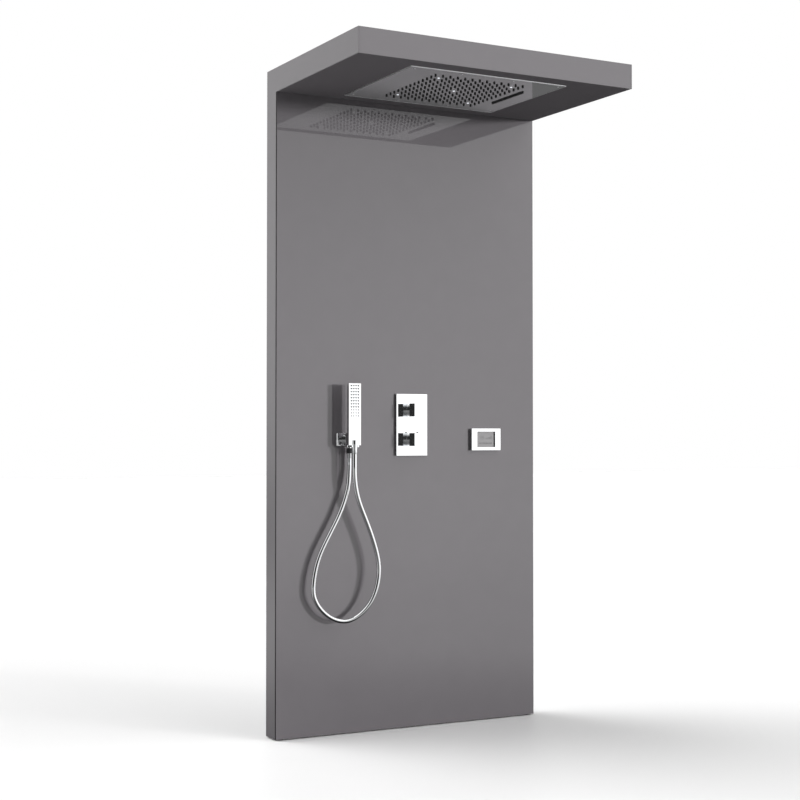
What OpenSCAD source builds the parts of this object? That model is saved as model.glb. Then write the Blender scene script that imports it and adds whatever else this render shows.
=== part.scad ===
// Concealed shower set: a floor-to-head panel with an overhead canopy, a thermostatic
// mixer, a hand shower on its outlet and a wall control. Millimetres.
// The origin is the centre of the four wall holes on the wall plane.
// +X goes to the right in a front view, +Y into the wall and +Z up.

/* [Casing] */
// Height from the floor to the top of the canopy
total_h = 2200; // [2150:10:2400]
// Width of the panel and of the canopy
panel_w = 1000; // [960:10:1200]
// Depth of the panel from the wall to its front face
panel_t = 80; // [78:1:100]
// Depth of the canopy from the wall to its front edge
canopy_d = 665; // [650:5:900]
// Height of the canopy's edge
canopy_t = 80; // [80:1:110]
// Thickness of the compact laminate front sheet
front_t = 8; // [6:1:9]
// Thickness of the painted skins: cheeks, fascia, soffit, cover and sill
skin_t = 4; // [3:0.5:5]
// Gap between the floor and the casing
floor_gap = 4; // [3:1:10]

/* [Frame] */
// Side of the square frame tube
tube = 40; // [36:1:40]
// Wall of the frame tube
tube_wall = 2.5; // [2:0.5:3]
// Width of the flat tube across the canopy
canopy_bar_w = 30; // [25:1:30]
// Thickness of the gusset plates in the top corners
gusset_t = 6; // [4:1:8]
// Radius of a levelling foot's pad
foot_r = 16; // [12:1:18]
// Radius of a levelling foot's threaded stem
foot_stem_r = 5; // [4:0.5:6]

/* [Wall fixing] */
// Distance from the casing's sides to the wall holes
wall_inset_x = 100; // [80:5:150]
// Distance from the floor and from the casing's top to the wall holes
wall_inset_z = 200; // [200:10:300]
// Radius of a wall hole
wall_hole_r = 4.5; // [3.5:0.5:5.5]
// Width of a hanging cleat
cleat_w = 100; // [60:5:100]
// Thickness of a hanging cleat's plate
cleat_t = 3; // [2:0.5:4]

/* [Shower head] */
// Width of the head's face plate
head_w = 570; // [540:10:700]
// Depth of the head's face plate
head_d = 455; // [440:5:520]
// Thickness of the head's face plate
head_t = 3; // [2:0.5:4]
// Distance between spray holes in a row
hole_pitch = 27; // [24:0.5:27.5]
// Number of spray holes along a side of the square field
hole_n = 13; // [9:2:13]
// Radius of a spray hole
hole_r = 4.25; // [3:0.25:4.5]
// Rows from the centre to the outer lamps
lamp_step = 5; // [2:1:5]
// Distance from the head's centre to the cascade slot
slot_x = 207; // [204:1:230]
// Length of the cascade slot
slot_len = 185; // [120:5:220]
// Width of the cascade slot
slot_w = 4; // [2:0.5:4]
// Height of the water tray over the face plate
tray_h = 26; // [20:1:28]
// Wall of the water tray
tray_wall = 2; // [1.5:0.5:3]

/* [Mixer] */
// Width of the trim plate
trim_w = 120; // [110:1:150]
// Height of the trim plate
trim_h = 210; // [200:1:240]
// Thickness of the trim plate
trim_t = 9; // [6:0.5:12]
// Height of the lower knob, the hand shower bracket and the control over the floor
control_h = 979; // [900:1:1100]
// Distance between the two knobs
knob_pitch = 100; // [90:1:120]
// Side of a square knob
knob_s = 44; // [40:1:50]
// Depth of a square knob
knob_d = 36.7; // [34:0.1:42]
// Radius of the fixed round sleeve under a knob
sleeve_r = 21; // [19:0.5:22]
// Length of the sleeve
sleeve_len = 22; // [18:1:26]
// Radius of a cartridge spindle
spindle_r = 5; // [4:0.5:6]
// Radius of the safety button
button_r = 5; // [4:0.5:6]
// Travel of the safety button
button_travel = 3; // [2:0.5:3]
// Radius of the threaded wall inlets
inlet_r = 9.3; // [8:0.1:10]
// Length of thread in a wall inlet
inlet_len = 14; // [12:1:15]

/* [Hand shower] */
// Place of the hand shower bracket, left of the panel's centre
bracket_x = -245; // [-300:1:-200]
// Radius of the bracket's round sleeve
bracket_r = 21.5; // [20:0.5:24]
// Length of the bracket's round sleeve
bracket_len = 38; // [36:1:46]
// Thickness of the bracket's square block
block_t = 13; // [10:1:16]
// Width of the hand shower
hand_w = 45; // [40:1:60]
// Thickness of the hand shower
hand_t = 12; // [11:0.5:16]
// Length of the hand shower's flat body
hand_len = 205; // [180:5:240]
// Radius of the hand shower's boss over its taper
boss_high_r = 9.7; // [9:0.1:10]
// Number of spray rows
spray_rows = 11; // [6:1:12]
// Distance between spray rows
spray_pitch = 10; // [8:0.5:10.5]
// Radius of the hose
hose_r = 7.5; // [6:0.25:7.5]

/* [Wall control] */
// Place of the control's centre, right of the panel's centre
control_x = 296; // [270:1:360]
// Width of the control's frame
control_w = 118; // [112:1:130]
// Height of the control's frame
control_fh = 76; // [74:1:90]
// Thickness of the control's frame
control_t = 13; // [11:0.5:16]
// Width of the control's window
window_w = 73; // [60:1:76]
// Height of the control's window
window_h = 54; // [40:0.5:54.5]
// Depth of the window in front of the screen
window_recess = 5.5; // [5:0.5:8.5]

/* [Plumbing] */
// Radius of the copper pipes
pipe_r = 7.5; // [6:0.5:8]
// Radius of a pipe's bend
bend_r = 15; // [12:1:15]
// Radius of the low-voltage cables
cable_r = 3; // [2:0.5:4]
// Radius of the mains cable entry
gland_r = 4; // [3:0.5:5]

/* [Hidden] */
$fn = 48;
eps = 0.01;

// Clearances
run_gap = 0.05;
fit_gap = 0.3;
bolt_gap = 0.3;

// Planes and levels of the casing
floor_z = -total_h / 2;
top_z = total_h / 2;
under_z = top_z - canopy_t;
front_y = -panel_t;
bar_front_y = front_y + front_t;
bar_back_y = bar_front_y + tube;
rear_y = bar_back_y / 2;
lip_y = -canopy_d;
casing_z = floor_z + floor_gap;
inner_x = panel_w / 2 - skin_t;
upright_x = inner_x - tube / 2;
wall_hole_x = panel_w - 2 * wall_inset_x;
wall_hole_z = total_h - 2 * wall_inset_z;

// Levels in the canopy
soffit_top_z = under_z + skin_t;
arm_z = top_z - skin_t - tube;
pipe_top_z = arm_z + pipe_r + 3;
cable_top_z = pipe_top_z + pipe_r + cable_r + 1;

// Fixed places
control_z = floor_z + control_h;
diverter_z = control_z + knob_pitch;
valve_z = control_z + knob_pitch / 2;
valve_bar = 170;
mid_bar_z = 500;
hook_z = wall_hole_z / 2;
bar_levels = [
  casing_z + skin_t + tube / 2, -hook_z, valve_z - valve_bar, valve_z + valve_bar,
  mid_bar_z, hook_z
];

// Shower head
head_y = (front_y + lip_y) / 2;
field = (hole_n - 1) * hole_pitch;
hole_half = (hole_n - 1) / 2;
face_z = under_z - head_t;
mat_t = 3;
tray_w = field + 28;
mat_w = tray_w - 2 * tray_wall - 2 * fit_gap;
nozzle_r = 3.6;
nozzle_proud = 2;
lamp_r = 6;
lamp_lens_r = hole_r - fit_gap;
lamp_flange_r = 9;
lamp_flange_t = 2;
lamp_top = tray_h + lamp_flange_t + 6;
lamp_x = lamp_step * hole_pitch;
lamp_places = [[0, 0], [-lamp_x, -lamp_x], [lamp_x, -lamp_x], [-lamp_x, lamp_x], [lamp_x, lamp_x]];
soffit_lap = 10;
head_bar_y = head_d / 2 - canopy_bar_w / 2;
screw_r = 2.5;
screw_head_r = 5;
screw_inset = 20;
screw_places = [-head_w / 2 + screw_inset, -head_w / 6, head_w / 6, head_w / 2 - screw_inset];
boss_r = 12;
boss_h = 6;
boss_bore_r = 6;
rain_y = head_y + field / 4;
spout_w = 24;
spout_lap = 8;
spout_floor = 8;
elbow_r = 11;
elbow_tail = 24;

// Mixer
port_r = 12;
port_x = 62;
port_y = bar_back_y - 15;
block_w = 40;
block_d = 30;
block_h = knob_pitch + 50;
riser_port = 15;
block_back_y = bar_back_y;
block_front_y = block_back_y - block_d;
housing_r = 22;
housing_y = block_front_y - 4;
cartridge_r = 15;
cartridge_back_y = block_back_y - 6;
flange_r = 17.5;
flange_t = 3;
nose_r = 12;
nut_r = 21;
nut_t = 12;
gasket_t = 1;
gasket_inset = 2;
gasket_rim = 4;
trim_back_y = front_y - gasket_t;
trim_front_y = trim_back_y - trim_t;
sleeve_front_y = trim_front_y - sleeve_len;
knob_back_y = sleeve_front_y - fit_gap;
knob_front_y = knob_back_y - knob_d;
socket_len = 20;
spindle_tip_y = knob_back_y - socket_len;
spindle_back_y = block_front_y + 6;
nose_front_y = trim_front_y - 2;
grub_r = 2;
grub_y = knob_back_y - 9;
button_y = knob_back_y - knob_d / 2;
button_proud = button_travel + 1;
button_len = 12;
button_floor_z = spindle_r + 4;
spring_r = 3.6;
spring_wire_r = 0.4;
spring_turns = 3;
inlet_x = 92;
inlet_body_r = 14;
inlet_face_y = -8;
cutout_w = 90;
cutout_h = 176;
bracket_w = 120;
bracket_t = 3;
bracket_h = 2 * valve_bar + tube;
bracket_window_w = 40;
bracket_window_h = 60;
bracket_window_low = valve_z + block_h / 2 + 12;

// Hand shower
bracket_front_y = front_y - bracket_len;
block_face_y = bracket_front_y - block_t;
hand_y = block_face_y - hand_t / 2 - fit_gap;
boss_y = block_face_y - boss_high_r - fit_gap;
fork_top = -bracket_r + 2.5;
fork_t = 6;
fork_reach = 5;
fork_half = 13;
seat_gap = fit_gap;
boss_low_r = boss_high_r - 0.8;
boss_low = fork_top - fork_t - 10;
boss_taper_top = fork_top + 4;
boss_top = fork_top + 17;
outlet_p = 22;
outlet_y = front_y - outlet_p;
outlet_boss_r = 7.5;
outlet_boss_low = -bracket_r - 13;
outlet_nut_r = 9.7;
outlet_nut_low = -bracket_r - 24.5;
outlet_nut_h = 18;
ferrule_h = 16;
cone_nut_h = 12.5;
cone_nut_low = boss_low - cone_nut_h;
hand_z = control_z + fork_top + fit_gap;
spray_cols = 4;
spray_col_pitch = 8.75;
spray_first = 8;
spray_plate_w = 39;
spray_plate_h = (spray_rows - 1) * spray_pitch + 12;
spray_plate_t = 1.5;
spray_mat_t = 1.5;
spray_r = 2;
spray_hole_r = spray_r + 0.2;
spray_proud = 0.5;
spray_mid_z = hand_z + hand_len - spray_first - (spray_rows - 1) * spray_pitch / 2;
outlet_bore_r = 5;
elbow_bore_r = 6;
elbow_port = 28;
backnut_r = 17;
block_side = 0.5;
fork_slot_gap = 0.6;
tail_r = 10;
tail_front_y = front_y - 24;
elbow_body_r = 13;
elbow_front_y = bar_front_y + 8;
elbow_back_y = bar_back_y - 2;

// Hose: its free route from the outlet nut to the cone nut, in the part's frame
hose_sides = 12;
hose_points = [
  [-245, -102, -183], [-245, -102, -197], [-245, -102, -211], [-247, -104, -245],
  [-253, -109, -278], [-263, -113, -308], [-280, -113, -356], [-307, -113, -409],
  [-337, -113, -461], [-363, -113, -512], [-376, -113, -564], [-382, -114, -612],
  [-376, -115, -642], [-360, -117, -671], [-334, -120, -698], [-306, -123, -713],
  [-278, -126, -719], [-250, -129, -715], [-221, -132, -700], [-194, -135, -675],
  [-177, -136, -650], [-162, -137, -611], [-152, -137, -558], [-157, -137, -505],
  [-175, -138, -440], [-198, -138, -384], [-225, -139, -328], [-237, -140, -282],
  [-243, -141, -242], [-245, -141, -205], [-245, -141, -187], [-245, -141, -168.5]
];

// Wall control
screen_margin = 4;
screen_gap = 0.5;
screen_t = control_t - window_recess - screen_gap;
box_inset = 6;
box_w = control_w - 2 * box_inset;
box_h = control_fh - 2 * box_inset;
box_depth = 42;
box_wall = 2;
box_back_y = front_y + box_depth;

// Electrics
transformer_w = 110;
transformer_h = 60;
transformer_d = 26;
transformer_x = control_x - 91;
transformer_z = valve_z - valve_bar;
gland_body_r = 8;
gland_len = 18;
gland_hex_t = 5;
gland_hex_r = gland_body_r + 2;
cable_y = bar_back_y + 13;
cable_bend = 10;
screen_loop_z = control_z - 60;
screen_cable_x = transformer_x + 35;
lamp_cable_x = transformer_x - 35;

// Pipes
riser_x = slot_x;
clip_w = 28;
clip_h = 16;
clip_lap = 4;

// Bolts
bolt_r = 3;
bolt_head_r = 6;
bolt_head_h = 4;
bolt_len = 14;
cleat_bolt_x = 30;
bracket_bolt_x = 45;

// Hanging cleats: levels over a wall hole, and the lips that hook over each other
cleat_foot = 25;
shelf_z = 35;
cleat_lip_z = shelf_z + 15;
cleat_lip_y = -14;
hook_foot = 18;
hook_gap = 0.5;

// Gusset plates and levelling feet
gusset_reach = 300;
gusset_low = hook_z + tube / 2 + 10;
gusset_cut = 25;
foot_plate = 6;
foot_stem_len = 40;

// A round bar between two points on one line parallel to an axis
module rod(a, b, r) {
  d = b - a;
  len = norm(d);
  translate(a)
    multmatrix(d.z != 0 ? (d.z > 0 ? [[1, 0, 0, 0], [0, 1, 0, 0], [0, 0, 1, 0]]
                                   : [[1, 0, 0, 0], [0, -1, 0, 0], [0, 0, -1, 0]])
             : d.y != 0 ? (d.y > 0 ? [[1, 0, 0, 0], [0, 0, 1, 0], [0, -1, 0, 0]]
                                   : [[1, 0, 0, 0], [0, 0, -1, 0], [0, 1, 0, 0]])
             : (d.x > 0 ? [[0, 0, 1, 0], [0, 1, 0, 0], [-1, 0, 0, 0]]
                        : [[0, 0, -1, 0], [0, 1, 0, 0], [1, 0, 0, 0]]))
      cylinder(r = r, h = len);
}

// A quarter bend round the corner between unit directions u and v
module bend(corner, u, v, r, bend) {
  c = corner - bend * u + bend * v;
  w = cross(-v, u);
  multmatrix([[-v.x, u.x, w.x, c.x], [-v.y, u.y, w.y, c.y], [-v.z, u.z, w.z, c.z]])
    rotate_extrude(angle = 90)
      translate([bend, 0])
        circle(r = r);
}

// A pipe along points joined by lines parallel to the axes, with a bend at each corner
module pipe_run(points, r, bend) {
  last = len(points) - 1;
  dirs = [for (i = [0:last - 1]) (points[i + 1] - points[i]) / norm(points[i + 1] - points[i])];
  for (i = [0:last - 1]) {
    rod(points[i] + (i > 0 ? bend * dirs[i] : [0, 0, 0]),
        points[i + 1] - (i < last - 1 ? bend * dirs[i] : [0, 0, 0]), r);
    if (i < last - 1)
      bend(points[i + 1], dirs[i], dirs[i + 1], r, bend);
  }
}

// A cylinder along Y from one plane to another
module along_y(x, z, from_y, to_y, r, sides = $fn) {
  translate([x, max(from_y, to_y), z])
    rotate([90, 0, 0])
      cylinder(r = r, h = abs(to_y - from_y), $fn = sides);
}

// A block between two corners
module block(low, high) {
  translate(low)
    cube(high - low);
}

// A square tube along X, Y or Z between two corners, open at its ends
module box_tube(low, high, axis, wall) {
  w = [for (i = [0:2]) i == axis ? -1 : wall];
  difference() {
    block(low, high);
    block(low + w, high - w);
  }
}

// A profile drawn as [y, z] and extruded along X
module along_x(from_x, to_x) {
  translate([from_x, 0, 0])
    multmatrix([[0, 0, 1, 0], [1, 0, 0, 0], [0, 1, 0, 0]])
      linear_extrude(to_x - from_x)
        children();
}

// A copy on each side of the centre plane
module both_sides() {
  children();
  mirror([1, 0, 0])
    children();
}

// A smooth curve through points, and the tube that follows it
function catmull(a, b, c, d, t) =
  0.5 * (2 * b + (c - a) * t + (2 * a - 5 * b + 4 * c - d) * t * t
         + (3 * b - a - 3 * c + d) * t * t * t);
function smooth(p, steps) = [
  for (i = [0:len(p) - 2])
    for (s = [0:steps - 1])
      catmull(i == 0 ? 2 * p[0] - p[1] : p[i - 1], p[i], p[i + 1],
              i == len(p) - 2 ? 2 * p[i + 1] - p[i] : p[i + 2], s / steps),
  p[len(p) - 1]
];
function unit(v) = v / norm(v);
function tangent(p, i) =
  i == 0 ? unit(p[1] - p[0])
  : i == len(p) - 1 ? unit(p[i] - p[i - 1])
  : unit(p[i + 1] - p[i - 1]);
function ring(c, t, side, r, n) =
  let (u = unit(side - (side * t) * t), v = cross(t, u))
  [for (k = [0:n - 1]) c + r * (cos(360 * k / n) * u + sin(360 * k / n) * v)];
module swept_tube(p, side, r, n) {
  m = len(p);
  rings = [for (i = [0:m - 1]) ring(p[i], tangent(p, i), side, r, n)];
  faces = [
    [for (k = [0:n - 1]) k],
    [for (k = [n - 1:-1:0]) (m - 1) * n + k],
    for (i = [0:m - 2])
      for (k = [0:n - 1])
        each [
          [i * n + k, (i + 1) * n + k, (i + 1) * n + (k + 1) % n],
          [i * n + k, (i + 1) * n + (k + 1) % n, i * n + (k + 1) % n]
        ]
  ];
  polyhedron(points = [for (q = rings) each q], faces = faces, convexity = 6);
}

// One side of the casing: an L that runs up behind the front sheet and out with the canopy
module cheek() {
  along_x(inner_x, panel_w / 2)
    polygon([
      [0, casing_z], [bar_front_y, casing_z], [bar_front_y, under_z], [lip_y, under_z],
      [lip_y, top_z], [0, top_z]
    ]);
}

module side_cheek_right() {
  color("dimgray")
    cheek();
}

module side_cheek_left() {
  color("dimgray")
    mirror([1, 0, 0])
      cheek();
}

// The front sheet has a cut-out behind the mixer, one for the control and the outlet's hole
module front_sheet() {
  color("gray")
    translate([0, bar_front_y, 0])
      rotate([90, 0, 0])
        linear_extrude(front_t)
          difference() {
            translate([-panel_w / 2, casing_z])
              square([panel_w, under_z - casing_z]);
            translate([-cutout_w / 2, valve_z - cutout_h / 2])
              square([cutout_w, cutout_h]);
            translate([control_x - box_w / 2 - fit_gap, control_z - box_h / 2 - fit_gap])
              square([box_w + 2 * fit_gap, box_h + 2 * fit_gap]);
            translate([bracket_x, control_z])
              circle(r = tail_r + fit_gap);
          }
}

module canopy_fascia() {
  color("gray")
    block([-inner_x, lip_y, under_z], [inner_x, lip_y + skin_t, top_z]);
}

// The soffit is cut out for the shower head and laps its face plate
module canopy_soffit() {
  color("dimgray")
    translate([0, 0, under_z])
      linear_extrude(skin_t)
        difference() {
          translate([-inner_x, lip_y + skin_t])
            square([2 * inner_x, bar_front_y - lip_y - skin_t]);
          translate([-head_w / 2 + soffit_lap, head_y - head_d / 2 + soffit_lap])
            square([head_w - 2 * soffit_lap, head_d - 2 * soffit_lap]);
        }
}

module canopy_cover() {
  color("gray")
    block([-inner_x, lip_y + skin_t, top_z - skin_t], [inner_x, 0, top_z]);
}

module bottom_sill() {
  color("dimgray")
    difference() {
      block([-inner_x, bar_front_y, casing_z], [inner_x, 0, casing_z + skin_t]);
      both_sides()
        translate([upright_x, bar_front_y + tube / 2, casing_z - 1])
          cylinder(r = foot_stem_r + fit_gap, h = skin_t + 2);
    }
}

// An upright is a square tube closed at its foot by a plate for the levelling foot
module upright() {
  low = casing_z + skin_t;
  difference() {
    block([inner_x - tube, bar_front_y, low], [inner_x, bar_back_y, arm_z]);
    block([inner_x - tube + tube_wall, bar_front_y + tube_wall, low + foot_plate],
          [inner_x - tube_wall, bar_back_y - tube_wall, arm_z + 1]);
    translate([upright_x, bar_front_y + tube / 2, low - 1])
      cylinder(r = foot_stem_r + fit_gap, h = foot_plate + 2);
  }
}

module frame_upright_right() {
  color("silver")
    upright();
}

module frame_upright_left() {
  color("silver")
    mirror([1, 0, 0])
      upright();
}

// Level square tubes between the uprights, drilled where bolts go in
module frame_crossbars() {
  color("silver")
    difference() {
      for (z = bar_levels)
        box_tube([-inner_x + tube, bar_front_y, z - tube / 2],
                 [inner_x - tube, bar_back_y, z + tube / 2], 0, tube_wall);
      bolt_rows(bolt_r + bolt_gap, bolt_len + 1, 0);
    }
}

module canopy_arms() {
  color("silver")
    both_sides()
      box_tube([inner_x - tube, lip_y + skin_t, arm_z], [inner_x, bar_back_y, arm_z + tube], 1,
               tube_wall);
}

// Flat tubes across the canopy: one behind the fascia and two that carry the head
module canopy_crossbars() {
  color("silver")
    difference() {
      for (y = [lip_y + skin_t + canopy_bar_w / 2, head_y - head_bar_y, head_y + head_bar_y])
        box_tube([-inner_x, y - canopy_bar_w / 2, soffit_top_z],
                 [inner_x, y + canopy_bar_w / 2, arm_z], 0, tube_wall);
      head_screw_places()
        translate([0, 0, soffit_top_z - 1])
          cylinder(r = screw_r + bolt_gap, h = tube_wall + 2, $fn = 24);
    }
}

// A plate on the inside of each upright that also holds the arm
module corner_gussets() {
  color("silver")
    both_sides()
      along_x(inner_x - tube - gusset_t, inner_x - tube)
        polygon([
          [bar_back_y, gusset_low], [bar_front_y, gusset_low],
          [bar_front_y, arm_z - gusset_cut], [bar_front_y - gusset_cut, arm_z],
          [bar_front_y - gusset_reach, arm_z], [bar_front_y - gusset_reach, arm_z + tube],
          [bar_back_y, arm_z + tube]
        ]);
}

// The wall half of a hanging cleat: a web with the wall hole, a shelf and a lip
module wall_cleats() {
  color("gainsboro")
    for (x = [-wall_hole_x / 2, wall_hole_x / 2], z = [-hook_z, hook_z])
      difference() {
        along_x(x - cleat_w / 2, x + cleat_w / 2)
          polygon([
            [0, z - cleat_foot], [-cleat_t, z - cleat_foot], [-cleat_t, z + shelf_z - cleat_t],
            [cleat_lip_y - cleat_t, z + shelf_z - cleat_t], [cleat_lip_y - cleat_t, z + cleat_lip_z],
            [cleat_lip_y, z + cleat_lip_z], [cleat_lip_y, z + shelf_z], [0, z + shelf_z]
          ]);
        along_y(x, z, 1, -cleat_t - 1, wall_hole_r);
      }
}

// The panel's half: a web on the crossbar, a top flange and a lip that drops behind the other
module hook_cleats() {
  lip_front = cleat_lip_y + hook_gap;
  color("gainsboro")
    difference() {
      for (x = [-wall_hole_x / 2, wall_hole_x / 2], z = [-hook_z, hook_z])
        along_x(x - cleat_w / 2, x + cleat_w / 2)
          polygon([
            [bar_back_y, z - hook_foot], [bar_back_y, z + cleat_lip_z + cleat_t],
            [lip_front + cleat_t, z + cleat_lip_z + cleat_t],
            [lip_front + cleat_t, z + shelf_z + hook_gap], [lip_front, z + shelf_z + hook_gap],
            [lip_front, z + cleat_lip_z], [bar_back_y + cleat_t, z + cleat_lip_z],
            [bar_back_y + cleat_t, z - hook_foot]
          ]);
      bolt_rows(bolt_r + bolt_gap, bolt_len, cleat_t + 1);
    }
}

// Every frame bolt enters a crossbar from behind: two in each hook cleat, four in the bracket
module bolt_rows(r, deep, out) {
  for (x = [-1, 1], z = [-hook_z, hook_z], s = [-cleat_bolt_x, cleat_bolt_x])
    along_y(x * wall_hole_x / 2 + s, z, bar_back_y + out, bar_back_y - deep, r, 24);
  for (x = [-bracket_bolt_x, bracket_bolt_x], z = [-valve_bar, valve_bar])
    along_y(x, valve_z + z, bar_back_y + out, bar_back_y - deep, r, 24);
}

module frame_bolts() {
  color("silver") {
    bolt_rows(bolt_r, bolt_len, cleat_t);
    for (x = [-1, 1], z = [-hook_z, hook_z], s = [-cleat_bolt_x, cleat_bolt_x])
      along_y(x * wall_hole_x / 2 + s, z, bar_back_y + cleat_t, bar_back_y + cleat_t + bolt_head_h,
              bolt_head_r, 6);
    for (x = [-bracket_bolt_x, bracket_bolt_x], z = [-valve_bar, valve_bar])
      along_y(x, valve_z + z, bar_back_y + bracket_t, bar_back_y + bracket_t + bolt_head_h,
              bolt_head_r, 6);
  }
}

module levelling_feet() {
  color("dimgray")
    both_sides()
      translate([upright_x, bar_front_y + tube / 2, floor_z]) {
        cylinder(r = foot_r, h = floor_gap);
        cylinder(r = foot_stem_r, h = floor_gap + foot_stem_len);
      }
}

// Places of the spray holes, seen from above, with the lamp places left out
function is_lamp(i, j) = (i == 0 && j == 0) || (abs(i) == lamp_step && abs(j) == lamp_step);
spray_places = [
  for (i = [-hole_half:hole_half], j = [-hole_half:hole_half])
    if (!is_lamp(i, j)) [i, j] * hole_pitch
];

module head_screw_places() {
  for (x = screw_places, y = [-head_d / 2 + screw_inset, head_d / 2 - screw_inset])
    translate([x, head_y + y, 0])
      children();
}

module head_face_plate() {
  color("lightsteelblue")
    translate([0, 0, face_z])
      linear_extrude(head_t)
        difference() {
          translate([-head_w / 2, head_y - head_d / 2])
            square([head_w, head_d]);
          for (p = concat(spray_places, lamp_places))
            translate([p.x, head_y + p.y])
              circle(r = hole_r, $fn = 20);
          translate([slot_x - slot_w / 2, head_y - slot_len / 2])
            square([slot_w, slot_len]);
          head_screw_places()
            circle(r = screw_r + bolt_gap, $fn = 20);
        }
}

// A silicone mat that lies on the face plate, with a nozzle standing through every spray hole
module nozzle_mat() {
  nozzle_down = head_t + nozzle_proud;
  color("dimgray")
    difference() {
      union() {
        translate([-mat_w / 2, head_y - mat_w / 2, under_z])
          cube([mat_w, mat_w, mat_t]);
        for (p = spray_places)
          translate([p.x, head_y + p.y, under_z - nozzle_down])
            cylinder(r = nozzle_r, h = nozzle_down, $fn = 16);
      }
      for (p = lamp_places)
        translate([p.x, head_y + p.y, under_z - 1])
          cylinder(r = lamp_r + fit_gap, h = mat_t + 2, $fn = 32);
    }
}

// The water tray is an inverted pan with an inlet boss, and the lamps pass through its roof
module head_tray() {
  color("silver")
    difference() {
      union() {
        translate([-tray_w / 2, head_y - tray_w / 2, under_z])
          cube([tray_w, tray_w, tray_h]);
        translate([0, rain_y, under_z])
          cylinder(r = boss_r, h = tray_h + boss_h);
      }
      translate([-tray_w / 2 + tray_wall, head_y - tray_w / 2 + tray_wall, under_z - 1])
        cube([tray_w - 2 * tray_wall, tray_w - 2 * tray_wall, tray_h - tray_wall + 1]);
      translate([0, rain_y, under_z])
        cylinder(r = boss_bore_r, h = tray_h + boss_h + 1);
      for (p = lamp_places)
        translate([p.x, head_y + p.y, under_z])
          cylinder(r = lamp_r + fit_gap, h = tray_h + 1, $fn = 32);
    }
}

// A lamp has a lens in the face plate, a round body through the tray and a flange on its roof
module led_lamps() {
  color("white")
    for (p = lamp_places)
      translate([p.x, head_y + p.y, 0]) {
        translate([0, 0, face_z])
          cylinder(r = lamp_lens_r, h = head_t, $fn = 32);
        translate([0, 0, under_z])
          cylinder(r = lamp_r, h = lamp_top, $fn = 32);
        translate([0, 0, under_z + tray_h])
          cylinder(r = lamp_flange_r, h = lamp_flange_t, $fn = 32);
      }
}

// The cascade spout stands over its slot and spreads the water along it
module cascade_spout() {
  color("silver")
    translate([slot_x, head_y, under_z])
      difference() {
        union() {
          translate([-spout_w / 2, -slot_len / 2 - spout_lap, 0])
            cube([spout_w, slot_len + 2 * spout_lap, tray_h]);
          cylinder(r = boss_r, h = tray_h + boss_h);
        }
        translate([-slot_w / 2, -slot_len / 2, -1])
          cube([slot_w, slot_len, spout_floor + 2]);
        translate([-spout_w / 2 + tray_wall, -slot_len / 2 - spout_lap + tray_wall, spout_floor])
          cube([spout_w - 2 * tray_wall, slot_len + 2 * (spout_lap - tray_wall),
                tray_h - spout_floor - tray_wall]);
        translate([0, 0, spout_floor])
          cylinder(r = boss_bore_r, h = tray_h + boss_h);
      }
}

// An elbow on each inlet boss turns the water's way down from the level riser
module head_elbow(x, y) {
  low = under_z + tray_h + boss_h;
  translate([x, y, low])
    cylinder(r = elbow_r, h = pipe_top_z - low + elbow_r);
  along_y(x, pipe_top_z, y, y + elbow_tail, elbow_r - 1);
}

module head_elbows() {
  color("goldenrod") {
    head_elbow(0, rain_y);
    head_elbow(slot_x, head_y);
  }
}

module head_screws() {
  head_h = 1.5;
  color("white")
    head_screw_places() {
      translate([0, 0, face_z - head_h])
        cylinder(r = screw_head_r, h = head_h, $fn = 32);
      translate([0, 0, face_z - head_h])
        cylinder(r = screw_r, h = head_h + head_t + skin_t + 8, $fn = 24);
    }
}

// The brass valve: a block with two cartridge housings, two inlets and three outlets
module valve_body() {
  top = valve_z + block_h / 2;
  color("goldenrod")
    difference() {
      union() {
        block([-block_w / 2, block_front_y, valve_z - block_h / 2], [block_w / 2, block_back_y, top]);
        for (z = [control_z, diverter_z]) {
          along_y(0, z, housing_y, block_back_y, housing_r);
          rod([-port_x, port_y, z], [port_x, port_y, z], port_r);
        }
        translate([0, port_y, top - eps])
          cylinder(r = port_r, h = riser_port + eps);
      }
      for (z = [control_z, diverter_z])
        along_y(0, z, housing_y - 1, cartridge_back_y, cartridge_r + 0.2);
    }
}

// A pressed plate bolted to two crossbars, with a window that lets the riser pass
module valve_bracket() {
  color("gainsboro")
    difference() {
      block([-bracket_w / 2, bar_back_y, valve_z - bracket_h / 2],
            [bracket_w / 2, bar_back_y + bracket_t, valve_z + bracket_h / 2]);
      block([-bracket_window_w / 2, bar_back_y - 1, bracket_window_low],
            [bracket_window_w / 2, bar_back_y + bracket_t + 1,
             bracket_window_low + bracket_window_h]);
      bolt_rows(bolt_r + bolt_gap, 1, bracket_t + 1);
    }
}

// Angled non-return valves carry the hot and cold threads that face the wall
module inlet_check_valves() {
  color("goldenrod")
    both_sides()
      difference() {
        union() {
          rod([port_x, port_y, control_z], [inlet_x, port_y, control_z], port_r + 1);
          along_y(inlet_x, control_z, port_y - inlet_body_r, inlet_face_y, inlet_body_r);
        }
        along_y(inlet_x, control_z, inlet_face_y - inlet_len, inlet_face_y + 1, inlet_r);
      }
}

// A cartridge: body in the housing, flange on it, and a nose bored for the spindle
module cartridge(z) {
  difference() {
    union() {
      along_y(0, z, housing_y, cartridge_back_y, cartridge_r);
      along_y(0, z, housing_y - flange_t, housing_y, flange_r);
      along_y(0, z, nose_front_y, housing_y - flange_t, nose_r);
    }
    along_y(0, z, nose_front_y - 1, spindle_back_y, spindle_r + run_gap);
  }
}

module diverter_cartridge() {
  color("white")
    cartridge(diverter_z);
}

module thermostatic_cartridge() {
  color("ivory")
    cartridge(control_z);
}

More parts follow.
